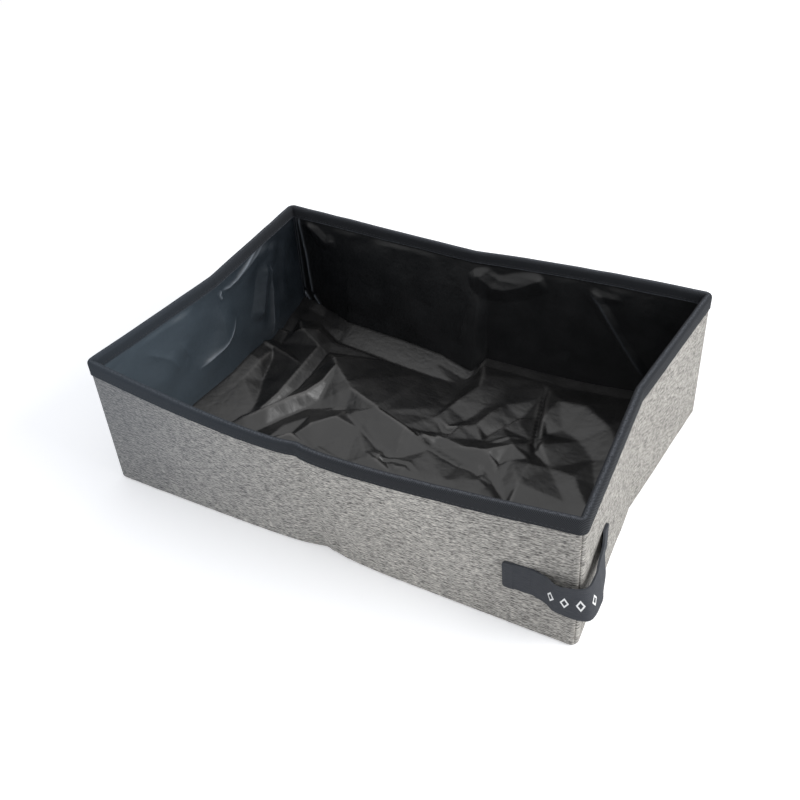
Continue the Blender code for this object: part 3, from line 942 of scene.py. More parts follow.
    def zones(self) -> list[Zone]:
        """The stretches that each layer is cut into. The cuts lie on flat parts between the hinges."""
        half, end = self.side_half / 2, self.side_half + self.quarter
        found = [
            Zone("front", Wall.FRONT, -self.hinge_x, self.hinge_x, ("front",), ("front_wall",)),
            Zone("back", Wall.BACK, -self.hinge_x, self.hinge_x, ("back",), ("back_wall",)),
        ]
        for wall in SIDES:
            side = wall.value
            near, far = f"{side}_front", f"{side}_back"
            rear = (far, "back_wall") if wall is Wall.RIGHT else (far,)
            found += [
                Zone(f"{side}_front_corner", wall, -end, -half, (near,), ("front_wall", near)),
                Zone(f"{side}_middle", wall, -half, half, (near, far), (near, far)),
                Zone(f"{side}_back_corner", wall, half, end, (far,), rear),
            ]
        return found

    def motion(self, zone: Zone, depth: float, reach: float) -> Motion:
        """How a layer at a depth moves in a zone, its bend at a middle fold reaching this far each way."""
        if len(zone.bodies) == 1:
            return Motion(zone.bodies)
        sign = 1 if zone.wall is Wall.RIGHT else -1
        if zone.start < 0 < zone.end:
            x = sign * (self.half_length - self.pinch)
            return Motion(zone.bodies, (x, -reach, 0.0), (x, reach, 0.0))
        radius = max(self.corner_radius - depth, self.least_radius)
        end_y = -1 if zone.start < 0 else 1
        on_long = (sign * self.hinge_x, end_y * (self.hinge_y + radius), 0.0)
        on_side = (sign * (self.hinge_x + radius), end_y * self.hinge_y, 0.0)
        if end_y < 0:
            return Motion(zone.bodies, on_long, on_side)
        return Motion(zone.bodies, on_side, on_long)

    def stations(self, zone: Zone, spacing: float) -> Array:
        """Evenly spread places along a zone, closer round its corner."""
        cuts = [zone.start, zone.end]
        for corner in (-self.side_half, self.side_half):
            if zone.wall in SIDES and zone.start < corner < zone.end:
                cuts.append(corner)
        cuts = sorted(cuts)
        parts = []
        for first, last in zip(cuts, cuts[1:]):
            tight = last - first < 2 * self.quarter
            count = max(2, round((last - first) / (spacing / 2 if tight else spacing)) + 1)
            parts.append(np.linspace(first, last, count))
            if tight:
                parts.append((first + last) / 2 + np.array(self.turn_rows))
        return np.unique(np.concatenate(parts).round(6))


# Folds of the walls' covers and linings: each path is of places along the wall and heights, in mm

COVER_FOLDS = {
    Wall.FRONT: (
        Fold(((-2, 113), (0, 96), (3, 80), (9, 62), (14, 42), (15, 22), (14, 0)), -1.4, 2.0, fade=0.05),
        Fold(((4, 113), (7, 90), (15, 62), (20, 42), (21, 20), (20, 0)), 1.3, 3.2, SOFT, 0.05),
        Fold(((-6, 113), (-5, 90), (2, 62), (7, 42), (8, 20), (8, 0)), 1.0, 3.0, SOFT, 0.05),
        Fold(((8, 106), (22, 80), (36, 52), (46, 20)), 1.6, 12.0, SOFT),
        Fold(((2, 112), (12, 88), (25, 62), (36, 40), (44, 22)), 1.3, 2.0),
        Fold(((3, 112), (17, 86), (34, 60), (52, 34)), 1.2, 2.0),
        Fold(((4, 112), (24, 90), (45, 68), (68, 46)), 0.9, 2.2),
        Fold(((-4, 112), (-13, 86), (-19, 58), (-15, 30)), 1.1, 6.0, SOFT),
        Fold(((-6, 110), (-26, 96), (-52, 88)), 0.6, 3.0),
        Fold(((16, 8), (40, 14), (70, 9)), 0.9, 6.0, SOFT),
        Fold(((12, 6), (-6, 16), (-30, 12)), 0.8, 5.0, SOFT),
        Fold(((-150, 60), (-90, 48), (-40, 58)), 1.2, 24.0, SOFT),
        Fold(((80, 70), (130, 84), (180, 76)), 1.2, 22.0, SOFT),
        Fold(((-196, 20), (-150, 14), (-90, 18)), 0.6, 7.0, SOFT),
    ),
    Wall.BACK: (
        Fold(((0, 113), (0, 70), (-3, 30), (-2, 0)), -1.8, 3.6, fade=0.05),
        Fold(((2, 110), (16, 80), (26, 48), (30, 20)), 0.9, 2.6),
        Fold(((-2, 110), (-18, 82), (-30, 52), (-34, 26)), 0.9, 2.6),
        Fold(((4, 111), (30, 88), (60, 70)), 0.7, 3.0),
        Fold(((-5, 111), (-34, 92), (-64, 80)), 0.6, 3.0),
        Fold(((-120, 52), (-70, 60), (-30, 48)), 1.1, 24.0, SOFT),
        Fold(((60, 50), (110, 62), (160, 48)), 1.1, 26.0, SOFT),
    ),
    Wall.RIGHT: (
        Fold(((0, 113), (1, 70), (0, 30), (0, 0)), -1.5, 2.6, fade=0.05),
        Fold(((-1, 112), (-10, 92), (-14, 70), (-12, 44)), 0.9, 2.2),
        Fold(((-2, 112), (-20, 96), (-40, 86)), 0.8, 2.6),
        Fold(((1, 112), (12, 94), (22, 74), (24, 50)), 0.9, 2.2),
        Fold(((2, 112), (24, 100), (46, 94)), 0.6, 2.6),
        Fold(((-100, 60), (-60, 50), (-30, 60)), 1.0, 20.0, SOFT),
        Fold(((40, 40), (80, 56), (120, 44)), 1.0, 20.0, SOFT),
    ),
    Wall.LEFT: (
        Fold(((0, 113), (-1, 70), (1, 30), (0, 0)), -1.5, 2.6, fade=0.05),
        Fold(((1, 112), (10, 90), (16, 66), (12, 40)), 0.9, 2.2),
        Fold(((-1, 112), (-16, 94), (-30, 80)), 0.9, 2.4),
        Fold(((2, 112), (26, 98), (50, 92)), 0.6, 2.6),
        Fold(((40, 56), (70, 66), (110, 54)), 1.0, 20.0, SOFT),
        Fold(((-110, 50), (-70, 62), (-34, 50)), 1.0, 20.0, SOFT),
    ),
}
# Lining folds; pale paints a highlight along a fold's crease.
LINING_FOLDS = {
    Wall.BACK: (
        # lit swag under the tape, right of the middle fold
        Fold(((3, 111), (8, 102), (18, 93), (30, 93), (48, 100), (68, 111)), 4.2, 14.0, FLAT, 0.1),
        Fold(((8, 110), (26, 102), (54, 104)), 0.7, 3.0),
        Fold(((3, 113), (1, 92), (-5, 60), (-10, 30)), 1.4, 3.0, fade=0.1),
        # fan in the top left corner
        Fold(((-200, 116), (-186, 106), (-172, 96), (-158, 100)), 2.4, 8.0, FLAT, 0.2),
        Fold(((-198, 114), (-184, 98), (-172, 88)), 1.2, 3.0),
        # two fine lines down the left corner, with a tab at their foot
        Fold(
            ((-205.5, 118), (-203, 100), (-200, 75), (-199, 50), (-198.5, 27)),
            1.5, 1.8, fade=0.05, pale=0.55,
        ),
        Fold(((-209, 118), (-208.5, 90), (-208.5, 60), (-208, 29)), 1.0, 1.6, fade=0.05, pale=0.4),
        Fold(((-209, 28), (-205, 21), (-200, 14)), 2.4, 2.2, fade=0.05, pale=0.8),
        Fold(((-209, 27), (-208, 14), (-201, 13)), 1.2, 1.6, fade=0.05, pale=0.7),
        Fold(((-197, 27), (-190, 16), (-185, 9), (-180, 6)), 2.2, 1.8, fade=0.1, pale=0.8),
        # long slanting fold on the right
        Fold(
            ((110, 106), (120, 96), (134, 75), (149, 53), (160, 39), (170, 25)),
            3.2, 7.0, FLAT, 0.12, pale=0.14,
        ),
        Fold(((106, 108), (122, 103), (144, 103)), 1.8, 6.0, FLAT),
        Fold(((150, 110), (172, 74), (190, 36)), 2.2, 20.0, SOFT),
        Fold(((-150, 34), (-90, 52), (-30, 40)), 1.6, 18.0, SOFT),
        Fold(((-120, 112), (-96, 84), (-60, 70)), 1.6, 16.0, SOFT),
    ),
    Wall.LEFT: (
        # pulled line below the tape, with a notch at the middle fold
        Fold(
            ((105, 121), (76, 117), (57, 112), (35, 106), (22, 105), (9, 108)),
            1.9, 2.0, fade=0.1, pale=0.75,
        ),
        Fold(((96, 119), (72, 112), (50, 108), (30, 103)), 1.0, 2.0, fade=0.2, pale=0.3),
        Fold(((9, 108), (5, 105), (8, 99)), 1.8, 2.0, fade=0.1, pale=0.75),
        Fold(((100, 112), (70, 105), (40, 98)), 1.8, 9.0, SOFT),
        # light ridge like an S, with soft rolls round it
        Fold(
            ((24, 72), (16, 64), (5, 58), (-8, 54.5), (-22, 53), (-39, 50), (-43, 46)),
            2.4, 3.6, fade=0.25, pale=0.9,
        ),
        Fold(((14, 100), (8, 84), (0, 66), (-24, 46), (-52, 34)), 3.4, 14.0, SOFT),
        Fold(((100, 112), (98, 98), (90, 88)), 2.6, 8.0, SOFT),
        Fold(((86, 100), (78, 82), (68, 62), (56, 42)), 6.0, 15.0, FLAT, 0.2),
        Fold(((91, 92), (90, 61), (86, 42), (78, 12)), 3.0, 3.6, fade=0.1, pale=0.12),
        Fold(((-20, 112), (-60, 84), (-90, 62), (-110, 44)), 3.0, 18.0, SOFT),
        Fold(((-100, 104), (-72, 80), (-62, 56)), 2.0, 6.0),
        Fold(((-60, 92), (-50, 70), (-58, 50)), 1.4, 4.0),
        Fold(((118, 106), (114, 70), (108, 34)), 3.0, 8.0, SOFT),
    ),
    Wall.RIGHT: (
        Fold(((-8, 112), (-30, 90), (-48, 60), (-52, 28)), 3.2, 10.0, SOFT),
        Fold(((4, 112), (20, 84), (24, 50), (16, 20)), 2.6, 4.0),
        Fold(((60, 112), (84, 88), (112, 80)), 2.6, 6.0),
        Fold(((-120, 100), (-96, 60), (-100, 24)), 3.0, 9.0, SOFT),
        Fold(((-20, 112), (-62, 100), (-104, 106)), 2.4, 4.0),
    ),
    Wall.FRONT: (
        Fold(((-6, 112), (-30, 88), (-60, 80), (-92, 96)), 3.2, 9.0, SOFT),
        Fold(((8, 112), (36, 80), (50, 44), (48, 20)), 3.0, 5.0),
        Fold(((70, 112), (104, 92), (140, 100)), 2.8, 7.0, SOFT),
        Fold(((-190, 104), (-160, 66), (-150, 28)), 3.0, 9.0, SOFT),
        Fold(((186, 108), (160, 70), (166, 26)), 2.8, 7.0),
        Fold(((-120, 50), (-70, 40), (-20, 52)), 2.2, 8.0),
    ),
}


@frozen
class CanvasCover:
    """The outer cover: one canvas panel on each long wall, and three pieces round each side wall."""

    shape: TrayShape
    spacing: float = 2.0 * MM
    foot: float = 0.4 * MM
    foot_round: float = 2.4 * MM
    seam_dip: float = 1.2 * MM
    seam_reach: float = 0.45 * MM
    board_room: float = 0.25 * MM
    slack: float = 0.5 * MM
    hills: Layers = ((1.0, 46.0 * MM, 5), (0.5, 21.0 * MM, 9))
    foot_share: float = 0.8
    foot_rows: tuple[float, ...] = (0.0, 0.12, 0.35, 0.65)
    underlap_depth: float = 1.3 * MM
    underlap_start: float = 0.5 * MM
    underlap_edge: float = 4.0 * MM
    underlap_grid: tuple[int, int] = (9, 12)
    top_gap: float = 4.0 * MM
    tape_line: float = 14.0 * MM
    tape_blend: float = 10.0 * MM
    corner_blend: float = 12.0 * MM
    bend_reach: float = 3.0 * MM

    def depth(self, wall: Wall, along: Array, z: Array) -> Array:
        """Depth of the cover's face: its folds and slack stand out, its seams and rounded foot go in."""
        shape = self.shape
        under_tape = ease((shape.height - self.tape_line - z) / self.tape_blend)
        side = wall in SIDES
        end = shape.side_half + shape.quarter if side else shape.hinge_x
        to_seam = end - np.abs(along)
        flat = ease((to_seam - (shape.quarter if side else 0.0)) / self.corner_blend)
        loose = self.slack * hills(along, z, self.hills)
        out = np.maximum(relief_of(COVER_FOLDS[wall], along, z) + loose, -self.board_room)
        out = out * under_tape * flat
        seam = self.seam_dip * np.exp(-np.abs(to_seam - shape.quarter / 2) / self.seam_reach) * side
        low = np.clip(self.foot_round - (z - self.foot), 0, self.foot_round)
        foot = self.foot_round - np.sqrt(self.foot_round**2 - low**2)
        return seam + self.foot_share * foot - out

    def heights(self) -> Array:
        """Heights of the grid, close together round the foot."""
        top = self.shape.height - self.top_gap
        low = self.foot + self.foot_round * np.array(self.foot_rows)
        return np.concatenate([low, np.arange(self.foot + self.foot_round, top, self.spacing), [top]])

    def build(self) -> None:
        """Makes every piece of the cover."""
        shape = self.shape
        for zone in shape.zones():
            along, z = grid_of(shape.stations(zone, self.spacing), self.heights())
            points = shape.place(zone.wall, along, self.depth(zone.wall, along, z), z)
            surfaces = [Surface.grid(points, joined(along, z), zone.wall in (Wall.BACK, Wall.LEFT))]
            if zone.wall is Wall.BACK:
                surfaces.append(self.underlap())
            piece = make_object(zone.name + "_canvas", surfaces, [CANVAS])
            thicken(piece, shape.cover_thickness)
            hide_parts(*[stem + "_outer_panel" for stem in zone.stems])
            shape.motion(zone, 0.0, self.bend_reach).attach(piece)

    def underlap(self) -> Surface:
        """The back panel's seam allowance, which goes on round the left corner under the side's cover."""
        shape = self.shape
        columns, rows = self.underlap_grid
        start, end = shape.side_half + self.underlap_start, shape.side_half + shape.quarter
        heights = np.linspace(self.underlap_edge, shape.height - self.underlap_edge, rows)
        along, z = grid_of(np.linspace(start, end, columns), heights)
        points = shape.place(Wall.LEFT, along, self.underlap_depth, z)
        return Surface.grid(points, joined(along, z), True)


@frozen
class WallLining:
    """The lining on the walls: loose coated taffeta that hangs from the rim tape."""

    shape: TrayShape
    spacing: float = 1.1 * MM
    foot: float = 2.0 * MM
    slack: float = 0.9 * MM
    facet: float = 0.35 * MM
    tuck_in: float = 9.0 * MM
    facing_depth: float = 3.55 * MM
    facing_thickness: float = 0.25 * MM
    keep: float = 0.1
    hills: Layers = ((1.0, 52.0 * MM, 31), (0.45, 20.0 * MM, 33))
    facet_size: float = 17.0 * MM
    foot_share: float = 0.35
    corner_edge: float = 2.0 * MM
    facing_rows: int = 24
    facing_spacing: float = 5.0 * MM
    tape_line: float = 11.0 * MM
    tape_blend: float = 7.0 * MM
    floor_line: float = 12.0 * MM
    floor_blend: float = 16.0 * MM
    corner_blend: float = 9.0 * MM
    top_gap: float = 1.6 * MM
    bend_reach: float = 7.0 * MM
    board_room: float = 0.3 * MM

    def depth(self, wall: Wall, along: Array, z: Array) -> Array:
        """Depth of the lining's face: flat under the tape and round the corners, calm at its foot."""
        shape = self.shape
        under_tape = ease((shape.height - self.tape_line - z) / self.tape_blend)
        above_floor = ease((z - self.floor_line) / self.floor_blend)
        above_floor = self.foot_share + (1 - self.foot_share) * above_floor
        side = wall in SIDES
        to_corner = (shape.side_half if side else shape.hinge_x) - np.abs(along)
        loose = self.slack * hills(along, z, self.hills)
        facets = self.facet * crumple(along, z, self.facet_size, 61)
        loose = (loose + facets) * ease(to_corner / self.corner_blend)
        least = 0.0 if wall is Wall.BACK else -self.board_room
        hang = np.maximum(relief_of(LINING_FOLDS[wall], along, z) + loose, least)
        lean = shape.back_lean(along, z) if wall is Wall.BACK else 0.0
        flat = ease(to_corner / self.corner_edge)
        return shape.lining_face + lean + hang * under_tape * above_floor * flat

    def build(self) -> None:
        """Makes every zone's lining. The back wall has a slack one in two halves, over a plain facing."""
        shape = self.shape
        for zone in shape.zones():
            top = shape.height - (self.tuck_in if zone.wall is Wall.BACK else self.top_gap)
            rows = np.linspace(self.foot, top, round((top - self.foot) / self.spacing) + 1)
            if zone.wall is not Wall.BACK:
                along = shape.stations(zone, self.spacing)
                piece = self.hang(zone, zone.name + "_lining_cloth", along, rows)
                shape.motion(zone, shape.lining_face, self.bend_reach).attach(piece)
                continue
            for name, first, last in (("left", zone.start, 0.0), ("right", 0.0, zone.end)):
                along = np.linspace(first, last, round((last - first) / self.spacing) + 1)
                piece = self.hang(zone, f"back_{name}_lining_cloth", along, rows)
                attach(piece, "back_wall")
                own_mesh(piece)
            self.facing(zone)

    def hang(self, zone: Zone, name: str, along: Array, rows: Array) -> Piece:
        """One piece of lining, with its folds and the highlights painted along their creases."""
        along, z = grid_of(along, rows)
        points = self.shape.place(zone.wall, along, self.depth(zone.wall, along, z), z)
        surface = Surface.grid(points, joined(along, z), zone.wall in (Wall.FRONT, Wall.RIGHT))
        # highlights painted along the folds' creases
        pale = [fold.highlighting(along, z) for fold in LINING_FOLDS[zone.wall]]
        surface.pale = np.clip(np.sum(pale, axis=0), 0, 1)
        # the side walls take the copy with painted sky light
        coat = SKY_LIT_SIDE_COAT if zone.wall in SIDES else WALL_COAT
        piece = make_object(name, [surface], [coat])
        thicken(piece, self.shape.lining_thickness)
        return self.declare(piece, zone, (float(np.ptp(along)), float(np.ptp(rows))))

    def facing(self, zone: Zone) -> None:
        """The plain cloth behind the slack lining, which holds the back wall's boards."""
        shape = self.shape
        rows = np.linspace(self.foot, shape.height - self.top_gap, self.facing_rows)
        along, z = grid_of(shape.stations(zone, self.facing_spacing), rows)
        points = shape.place(zone.wall, along, self.facing_depth, z)
        surface = Surface.grid(points, joined(along, z), False)
        piece = make_object("back_facing_cloth", [surface], [WALL_COAT])
        thicken(piece, self.facing_thickness)
        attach(piece, "back_wall")
        self.declare(piece, zone, (zone.end - zone.start, float(np.ptp(rows))))

    @staticmethod
    def declare(piece: Piece, zone: Zone, flat: Pair) -> Piece:
        """Hides the frame's linings that the piece stands for."""
        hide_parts(*[stem + "_lining" for stem in zone.stems])
        return piece


@frozen
class Stitching:
    """A row of lockstitches.

    Attributes:
        pitch: From one stitch to the next.
        length: Length of thread that shows.
        radius: Radius of the thread.
    """

    pitch: float = 3.6 * MM
    length: float = 2.5 * MM
    radius: float = 0.26 * MM
    sides: int = 5
    ring_share: float = 0.36
    sink: float = 0.9

    def surface(self, centres: Array, ahead: Array, out: Array) -> Surface:
        """One small spindle of thread for each stitch, half sunk in the cloth.

        Args:
            centres: Middle of each stitch.
            ahead: Unit vector along the row at each stitch.
            out: Unit vector out of the cloth at each stitch.

        Returns:
            All the spindles, each a pointed tube, in the piece's second material.
        """
        sides, shares = self.sides, np.array([-self.ring_share, self.ring_share])[:, None, None]
        angle = (2 * math.pi * np.arange(sides) / sides)[:, None]
        middle, forth, up, side = (v[:, None, None] for v in (centres, ahead, out, np.cross(out, ahead)))
        round_it = (up * np.cos(angle) + side * np.sin(angle)) * self.radius
        rings = (middle + forth * (shares * self.length) + round_it).reshape(len(centres), -1, 3)
        sunk, half = out * self.radius * self.sink, ahead * self.length / 2
        tips = np.stack([centres - half - sunk, centres + half - sunk], axis=1)
        points = np.concatenate([rings, tips], axis=1)
        one = []
        for i in range(sides):
            j = (i + 1) % sides
            one += [(i, j, j + sides, i + sides), (j, i, 2 * sides), (i + sides, j + sides, 2 * sides + 1)]
        each = points.shape[1]
        faces = [tuple(k + n * each for k in face) for n in range(len(centres)) for face in one]
        flat = points.reshape(-1, 3)
        return Surface(flat, faces, flat[:, :2].copy(), finish=1)


@frozen
class RimTape:
    """The binding tape, folded over the rim and sewn through both legs."""

    shape: TrayShape
    thickness: float = 0.8 * MM
    gap: float = 0.3 * MM
    outer_drop: float = 12.2 * MM
    inner_drop: float = 10.8 * MM
    kink: float = 1.5 * MM
    bend: float = 2.5 * MM
    spacing: float = 1.6 * MM
    seam_height: float = 2.4 * MM
    pucker: float = 0.22 * MM
    sway: float = 0.45 * MM
    sway_size: float = 24.0 * MM
    wave: float = 0.25 * MM
    wave_size: float = 17.0 * MM
    row_reach: float = 1.5 * MM
    leg_blend: float = 6.0 * MM
    sway_blend: float = 9.0 * MM
    kink_reach: float = 20.0 * MM
    kink_blend: float = 3.0 * MM
    leg_rows: int = 6
    turn_rows: int = 7
    spare_share: float = 0.6
    row_press: Pair = (0.7, 0.3)
    deepest: float = 0.8
    thread_sink: float = 0.9
    underlap_start: float = 0.8 * MM
    underlap_drops: Pair = (0.6 * MM, 3.0 * MM)
    underlap_grid: tuple[int, int] = (9, 5)
    bend_reach: float = 6.0 * MM
    stitch_margin: float = 1.5 * MM
    underlap_depths: Pair = (2.5 * MM, 2.9 * MM)

    def profile(self, spare: float) -> tuple[Array, Array, Array]:
        """Depth, height and length along the tape of a saddle that stands in by spare on every side."""
        shape = self.shape
        outside = -self.gap - self.thickness + spare
        inside = shape.lining_face + self.gap + self.thickness - spare
        top = shape.height - spare
        radius = self.bend - self.spare_share * spare
        turn = np.linspace(0, math.pi / 2, self.turn_rows)
        rise, fall = radius * (1 - np.cos(turn)), radius * (1 - np.sin(turn))
        first_leg = np.linspace(shape.height - self.outer_drop, top - radius, self.leg_rows + 1)[:-1]
        last_leg = np.linspace(top - radius, shape.height - self.inner_drop, self.leg_rows + 1)[1:]
        ends = np.full(self.leg_rows, outside), np.full(self.leg_rows, inside)
        depth = np.concatenate([ends[0], outside + rise, inside - fall, ends[1]])
        z = np.concatenate([first_leg, top - fall, top - rise, last_leg])
        length = np.concatenate([[0.0], np.cumsum(np.hypot(np.diff(depth), np.diff(z)))])
        return depth, z, length

    def finish(self) -> TwillTape:
        """The tape's material, with a highlight painted where it turns over the rim and along its inner
        edge.
        """
        _, _, length = self.profile(0.0)
        top, edge = float(length[11:15].mean()) / MM, float(length[-1]) / MM
        return TwillTape("woven_polyester_tape", "#0f1011", 0.9, top_mm=top, edge_mm=edge)

    def ring(self, wall: Wall, along: Array, spare: float) -> tuple[Array, Array]:
        """The tape's face, or its back, at each place along a wall, and its cloth coordinates."""
        shape = self.shape
        depth, z, length = self.profile(spare)
        a, d, h, v = np.broadcast_arrays(along[:, None], depth, z, length)
        leg = ease((shape.height - self.bend - h) / self.leg_blend)
        middle = shape.lining_face / 2
        outward = np.where(d < middle, -1.0, 1.0)
        stitch = np.cos(2 * math.pi * a / Stitching.pitch)
        row = np.exp(-(((h - self.seam_at(outward)) / self.row_reach) ** 2))
        press = self.pucker * row * (self.row_press[0] + self.row_press[1] * stitch)
        ripple = self.sway * cloud(a, outward * 0.5, self.sway_size, 71) * leg
        h = h + ripple * (1 - ease((h - shape.height + self.outer_drop) / self.sway_blend))
        h = h + self.wave * cloud(a, 0 * a, self.wave_size, 77) * (1 - leg)
        if wall is Wall.FRONT:
            past = np.exp(-np.maximum(a, 0) / self.kink_reach)
            h = h - self.kink * ease(a / self.kink_blend) * past * leg * (outward < 0)
        d = d - outward * np.minimum(press, self.gap * self.deepest)
        return shape.place(wall, a, d, h), joined(a, v)

    def seam_at(self, outward: Array | float) -> Array:
        """Height of the sewn row on the outer leg, for -1, or the inner leg, for 1."""
        drop = np.where(np.asarray(outward) < 0, self.outer_drop, self.inner_drop)
        return self.shape.height - drop + self.seam_height

    def stitches(self, zone: Zone) -> list[Surface]:
        """The sewn rows on both legs in a zone."""
        rows, pitch, place = [], Stitching.pitch, self.shape.place
        places = np.arange(math.ceil(zone.start / pitch), zone.end / pitch) * pitch
        margin = self.stitch_margin
        places = places[(places > zone.start + margin) & (places < zone.end - margin)]
        off = self.gap + self.thickness
        for outward, face in ((-1, -off), (1, self.shape.lining_face + self.gap + self.thickness)):
            z = float(self.seam_at(outward))
            depth = face - outward * self.pucker * self.thread_sink
            before = place(zone.wall, places - 1 * MM, depth, z)
            after = place(zone.wall, places + 1 * MM, depth, z)
            ahead = unit(after - before)
            out = place(zone.wall, places, depth + outward * MM, z) - place(zone.wall, places, depth, z)
            out = unit(out - ahead * (out * ahead).sum(axis=1)[:, None])
            rows.append(Stitching().surface((before + after) / 2, ahead, out))
        return rows

    def build(self) -> None:
        """Makes the tape of every zone, with its stitches."""
        shape = self.shape
        finish = self.finish()
        for zone in shape.zones():
            along = shape.stations(zone, self.spacing)
            face, cloth = self.ring(zone.wall, along, 0.0)
            back, back_cloth = self.ring(zone.wall, along, self.thickness)
            surfaces = [Surface.strip(face, back, cloth, back_cloth), *self.stitches(zone)]
            if zone.wall is Wall.BACK:
                surfaces.append(self.underlap())
            piece = make_object(zone.name + "_tape", surfaces, [finish, THREAD], outward=True)
            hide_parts(*[stem + "_rim_tape" for stem in zone.stems])
            shape.motion(zone, 0.0, self.bend_reach).attach(piece)

    def underlap(self) -> Surface:
        """The end of the back tape, tucked round the left corner under the side's cover."""
        shape = self.shape
        (low, high), (columns, rows) = self.underlap_drops, self.underlap_grid
        start, end = shape.side_half + self.underlap_start, shape.side_half + shape.quarter
        heights = np.linspace(shape.height - self.outer_drop + low, shape.height - high, rows)
        a, h = grid_of(np.linspace(start, end, columns), heights)
        face, back = (shape.place(Wall.LEFT, a, depth, h) for depth in self.underlap_depths)
        return Surface.strip(face, back, joined(a, h))


# Main creases of the floor, each as X, Y and height in millimetres
FLOOR_CREASES = (
    # valley right of the light triangle that slopes up to the left wall
    ((-197, 70, 11), (-187, 48, 8), (-176, 15, 6), (-160, -21, 5), (-161, -36, 4), (-168, -70, 4)),
    # ridge across the back left corner
    ((-197, 90, 16), (-180, 94, 19), (-164, 100, 17), (-145, 97, 10)),
    # narrow light band between two edges
    ((-150, 80, 14), (-148, 46, 13), (-146, 11, 12), (-150, -22, 8)),
    ((-139, 80, 8), (-137, 43, 6), (-137, 17, 5), (-143, -12, 4), (-152, -30, 4)),
    # long ridge from the middle of the floor to the front left
    ((-111, 52, 22), (-110, 26, 20), (-117, 4, 19), (-129, -11, 18), (-140, -26, 16), (-155, -45, 12),
     (-164, -61, 8), (-173, -86, 4)),
    ((-111, 52, 22), (-106, 24, 15), (-104, 8, 9)),
    ((-75, 7, 8), (-97, 1, 6), (-112, -5, 5), (-123, -22, 4), (-133, -43, 4), (-141, -60, 4),
     (-149, -88, 4)),
    ((-71, 1, 12), (-73, -12, 15), (-89, -31, 15), (-101, -48, 14), (-117, -64, 11), (-128, -92, 4)),
    ((-84, -3, 10), (-98, -18, 11), (-115, -37, 9)),
    # main ridge across the floor
    ((-119, 60, 22), (-88, 34, 20), (-77, 25, 20), (-42, 12, 19), (-6, 0, 18.5), (12, -3, 15)),
    ((4, 8, 9), (31, 6, 12), (52, 0, 14), (73, 3, 16), (91, 20, 15), (101, 32, 10)),
    ((-36, 12, 16), (-10, 4, 13.5), (23, -8, 6), (56, -15, 4), (79, -23, 6)),
    ((-68, -1, 10), (-49, -11, 8), (-14, -25, 5), (0, -31, 5)),
    ((-103, -44, 6), (-76, -49, 4), (-39, -55, 4), (-10, -59, 4), (22, -66, 4)),
    ((-98, -54, 9), (-70, -60, 9), (-30, -68, 8), (4, -74, 6)),
    ((-28, -37, 8), (-12, -43, 11), (-8, -39, 5), (9, -44, 9), (8, -50, 5)),
    ((14, -42, 9), (32, -46, 6), (52, -40, 7)),
    # fold that comes in from the middle of the back wall
    ((6, 100, 4), (11, 88, 5), (10, 70, 6.5), (9, 53, 7.5), (6, 30, 8)),
    ((17, 118, 13), (24, 102, 15), (28, 86, 14), (20, 66, 12), (14, 49, 10)),
    ((50, 92, 11), (44, 62, 9), (35, 42, 6)),
    ((24, 24, 9), (36, 28, 11), (49, 36, 12), (54, 56, 12), (60, 74, 10)),
    ((19, 14, 6), (23, 20, 4), (30, 22, 4)),
    ((61, 20, 8), (71, 40, 12), (80, 57, 12), (86, 64, 9)),
    ((62, 30, 4), (70, 46, 4), (78, 66, 4)),
    # narrow slit towards the back right, between two edges
    ((84, 114, 7), (88, 98, 4), (95, 72, 3.6), (105, 36, 3.6)),
    ((81, 114, 9), (85, 98, 8), (92, 70, 8), (101, 38, 8)),
    ((87, 114, 9), (91, 98, 9), (98.5, 72, 10), (110, 36, 10)),
    # right of the slit
    ((110, 28, 4), (108, 57, 4), (120, 68, 4), (138, 60, 4), (158, 41, 4), (171, 12, 4), (184, -14, 4)),
    ((104, 98, 13), (130, 98, 15), (158, 80, 14), (180, 46, 12)),
    ((109, 20, 7), (113, 6, 12), (114, -22, 13), (116, -42, 10), (122, -62, 4)),
    ((108, 14, 10), (97, 5, 11), (86, -5, 10)),
    ((88, -2, 6), (97, -26, 4), (111, -42, 5)),
    ((90, -32, 8), (104, -46, 9), (124, -50, 7)),
    ((73, -9, 10), (83, -7, 9), (80, -13, 6), (79, -27, 9)),
    ((128, 14, 6), (157, -21, 6)),
    ((152, 10, 9), (173, -20, 9)),
    # foot of the strip that slopes up to the slack lining at the back
    ((-172, 118, 9), (-145, 105, 5), (-79, 97, 4), (-31, 92, 4), (-4, 92, 4)),
    # front part of the floor, under the rim
    ((-120, -104, 8), (-70, -98, 9), (-20, -106, 8), (30, -96, 9)),
    ((50, -76, 4), (80, -70, 9), (112, -84, 8), (150, -76, 5)),
    ((62, -108, 7), (104, -112, 8), (150, -106, 5)),
)
# Foot of the floor's turned-up edge: share of the way along the wall from its middle, height in millimetres
FLOOR_EDGES = {
    Wall.LEFT: ((-1, 8), (-0.6, 12), (-0.35, 14), (0, 15), (0.25, 15), (0.45, 13), (0.55, 8), (0.7, 8),
        (0.85, 13), (1, 15)),
    Wall.BACK: ((-0.9, 11), (-0.72, 10), (-0.4, 10), (-0.15, 9.5), (0.01, 4), (0.045, 5), (0.07, 12),
        (0.37, 9), (0.58, 7), (0.8, 8)),
    Wall.RIGHT: ((-1, 4), (-0.45, 4), (0, 6), (0.3, 7), (0.6, 8), (1, 8)),
    Wall.FRONT: ((-0.85, 5), (-0.55, 5), (-0.25, 4), (0, 5), (0.3, 4), (0.6, 5), (0.85, 4)),
}
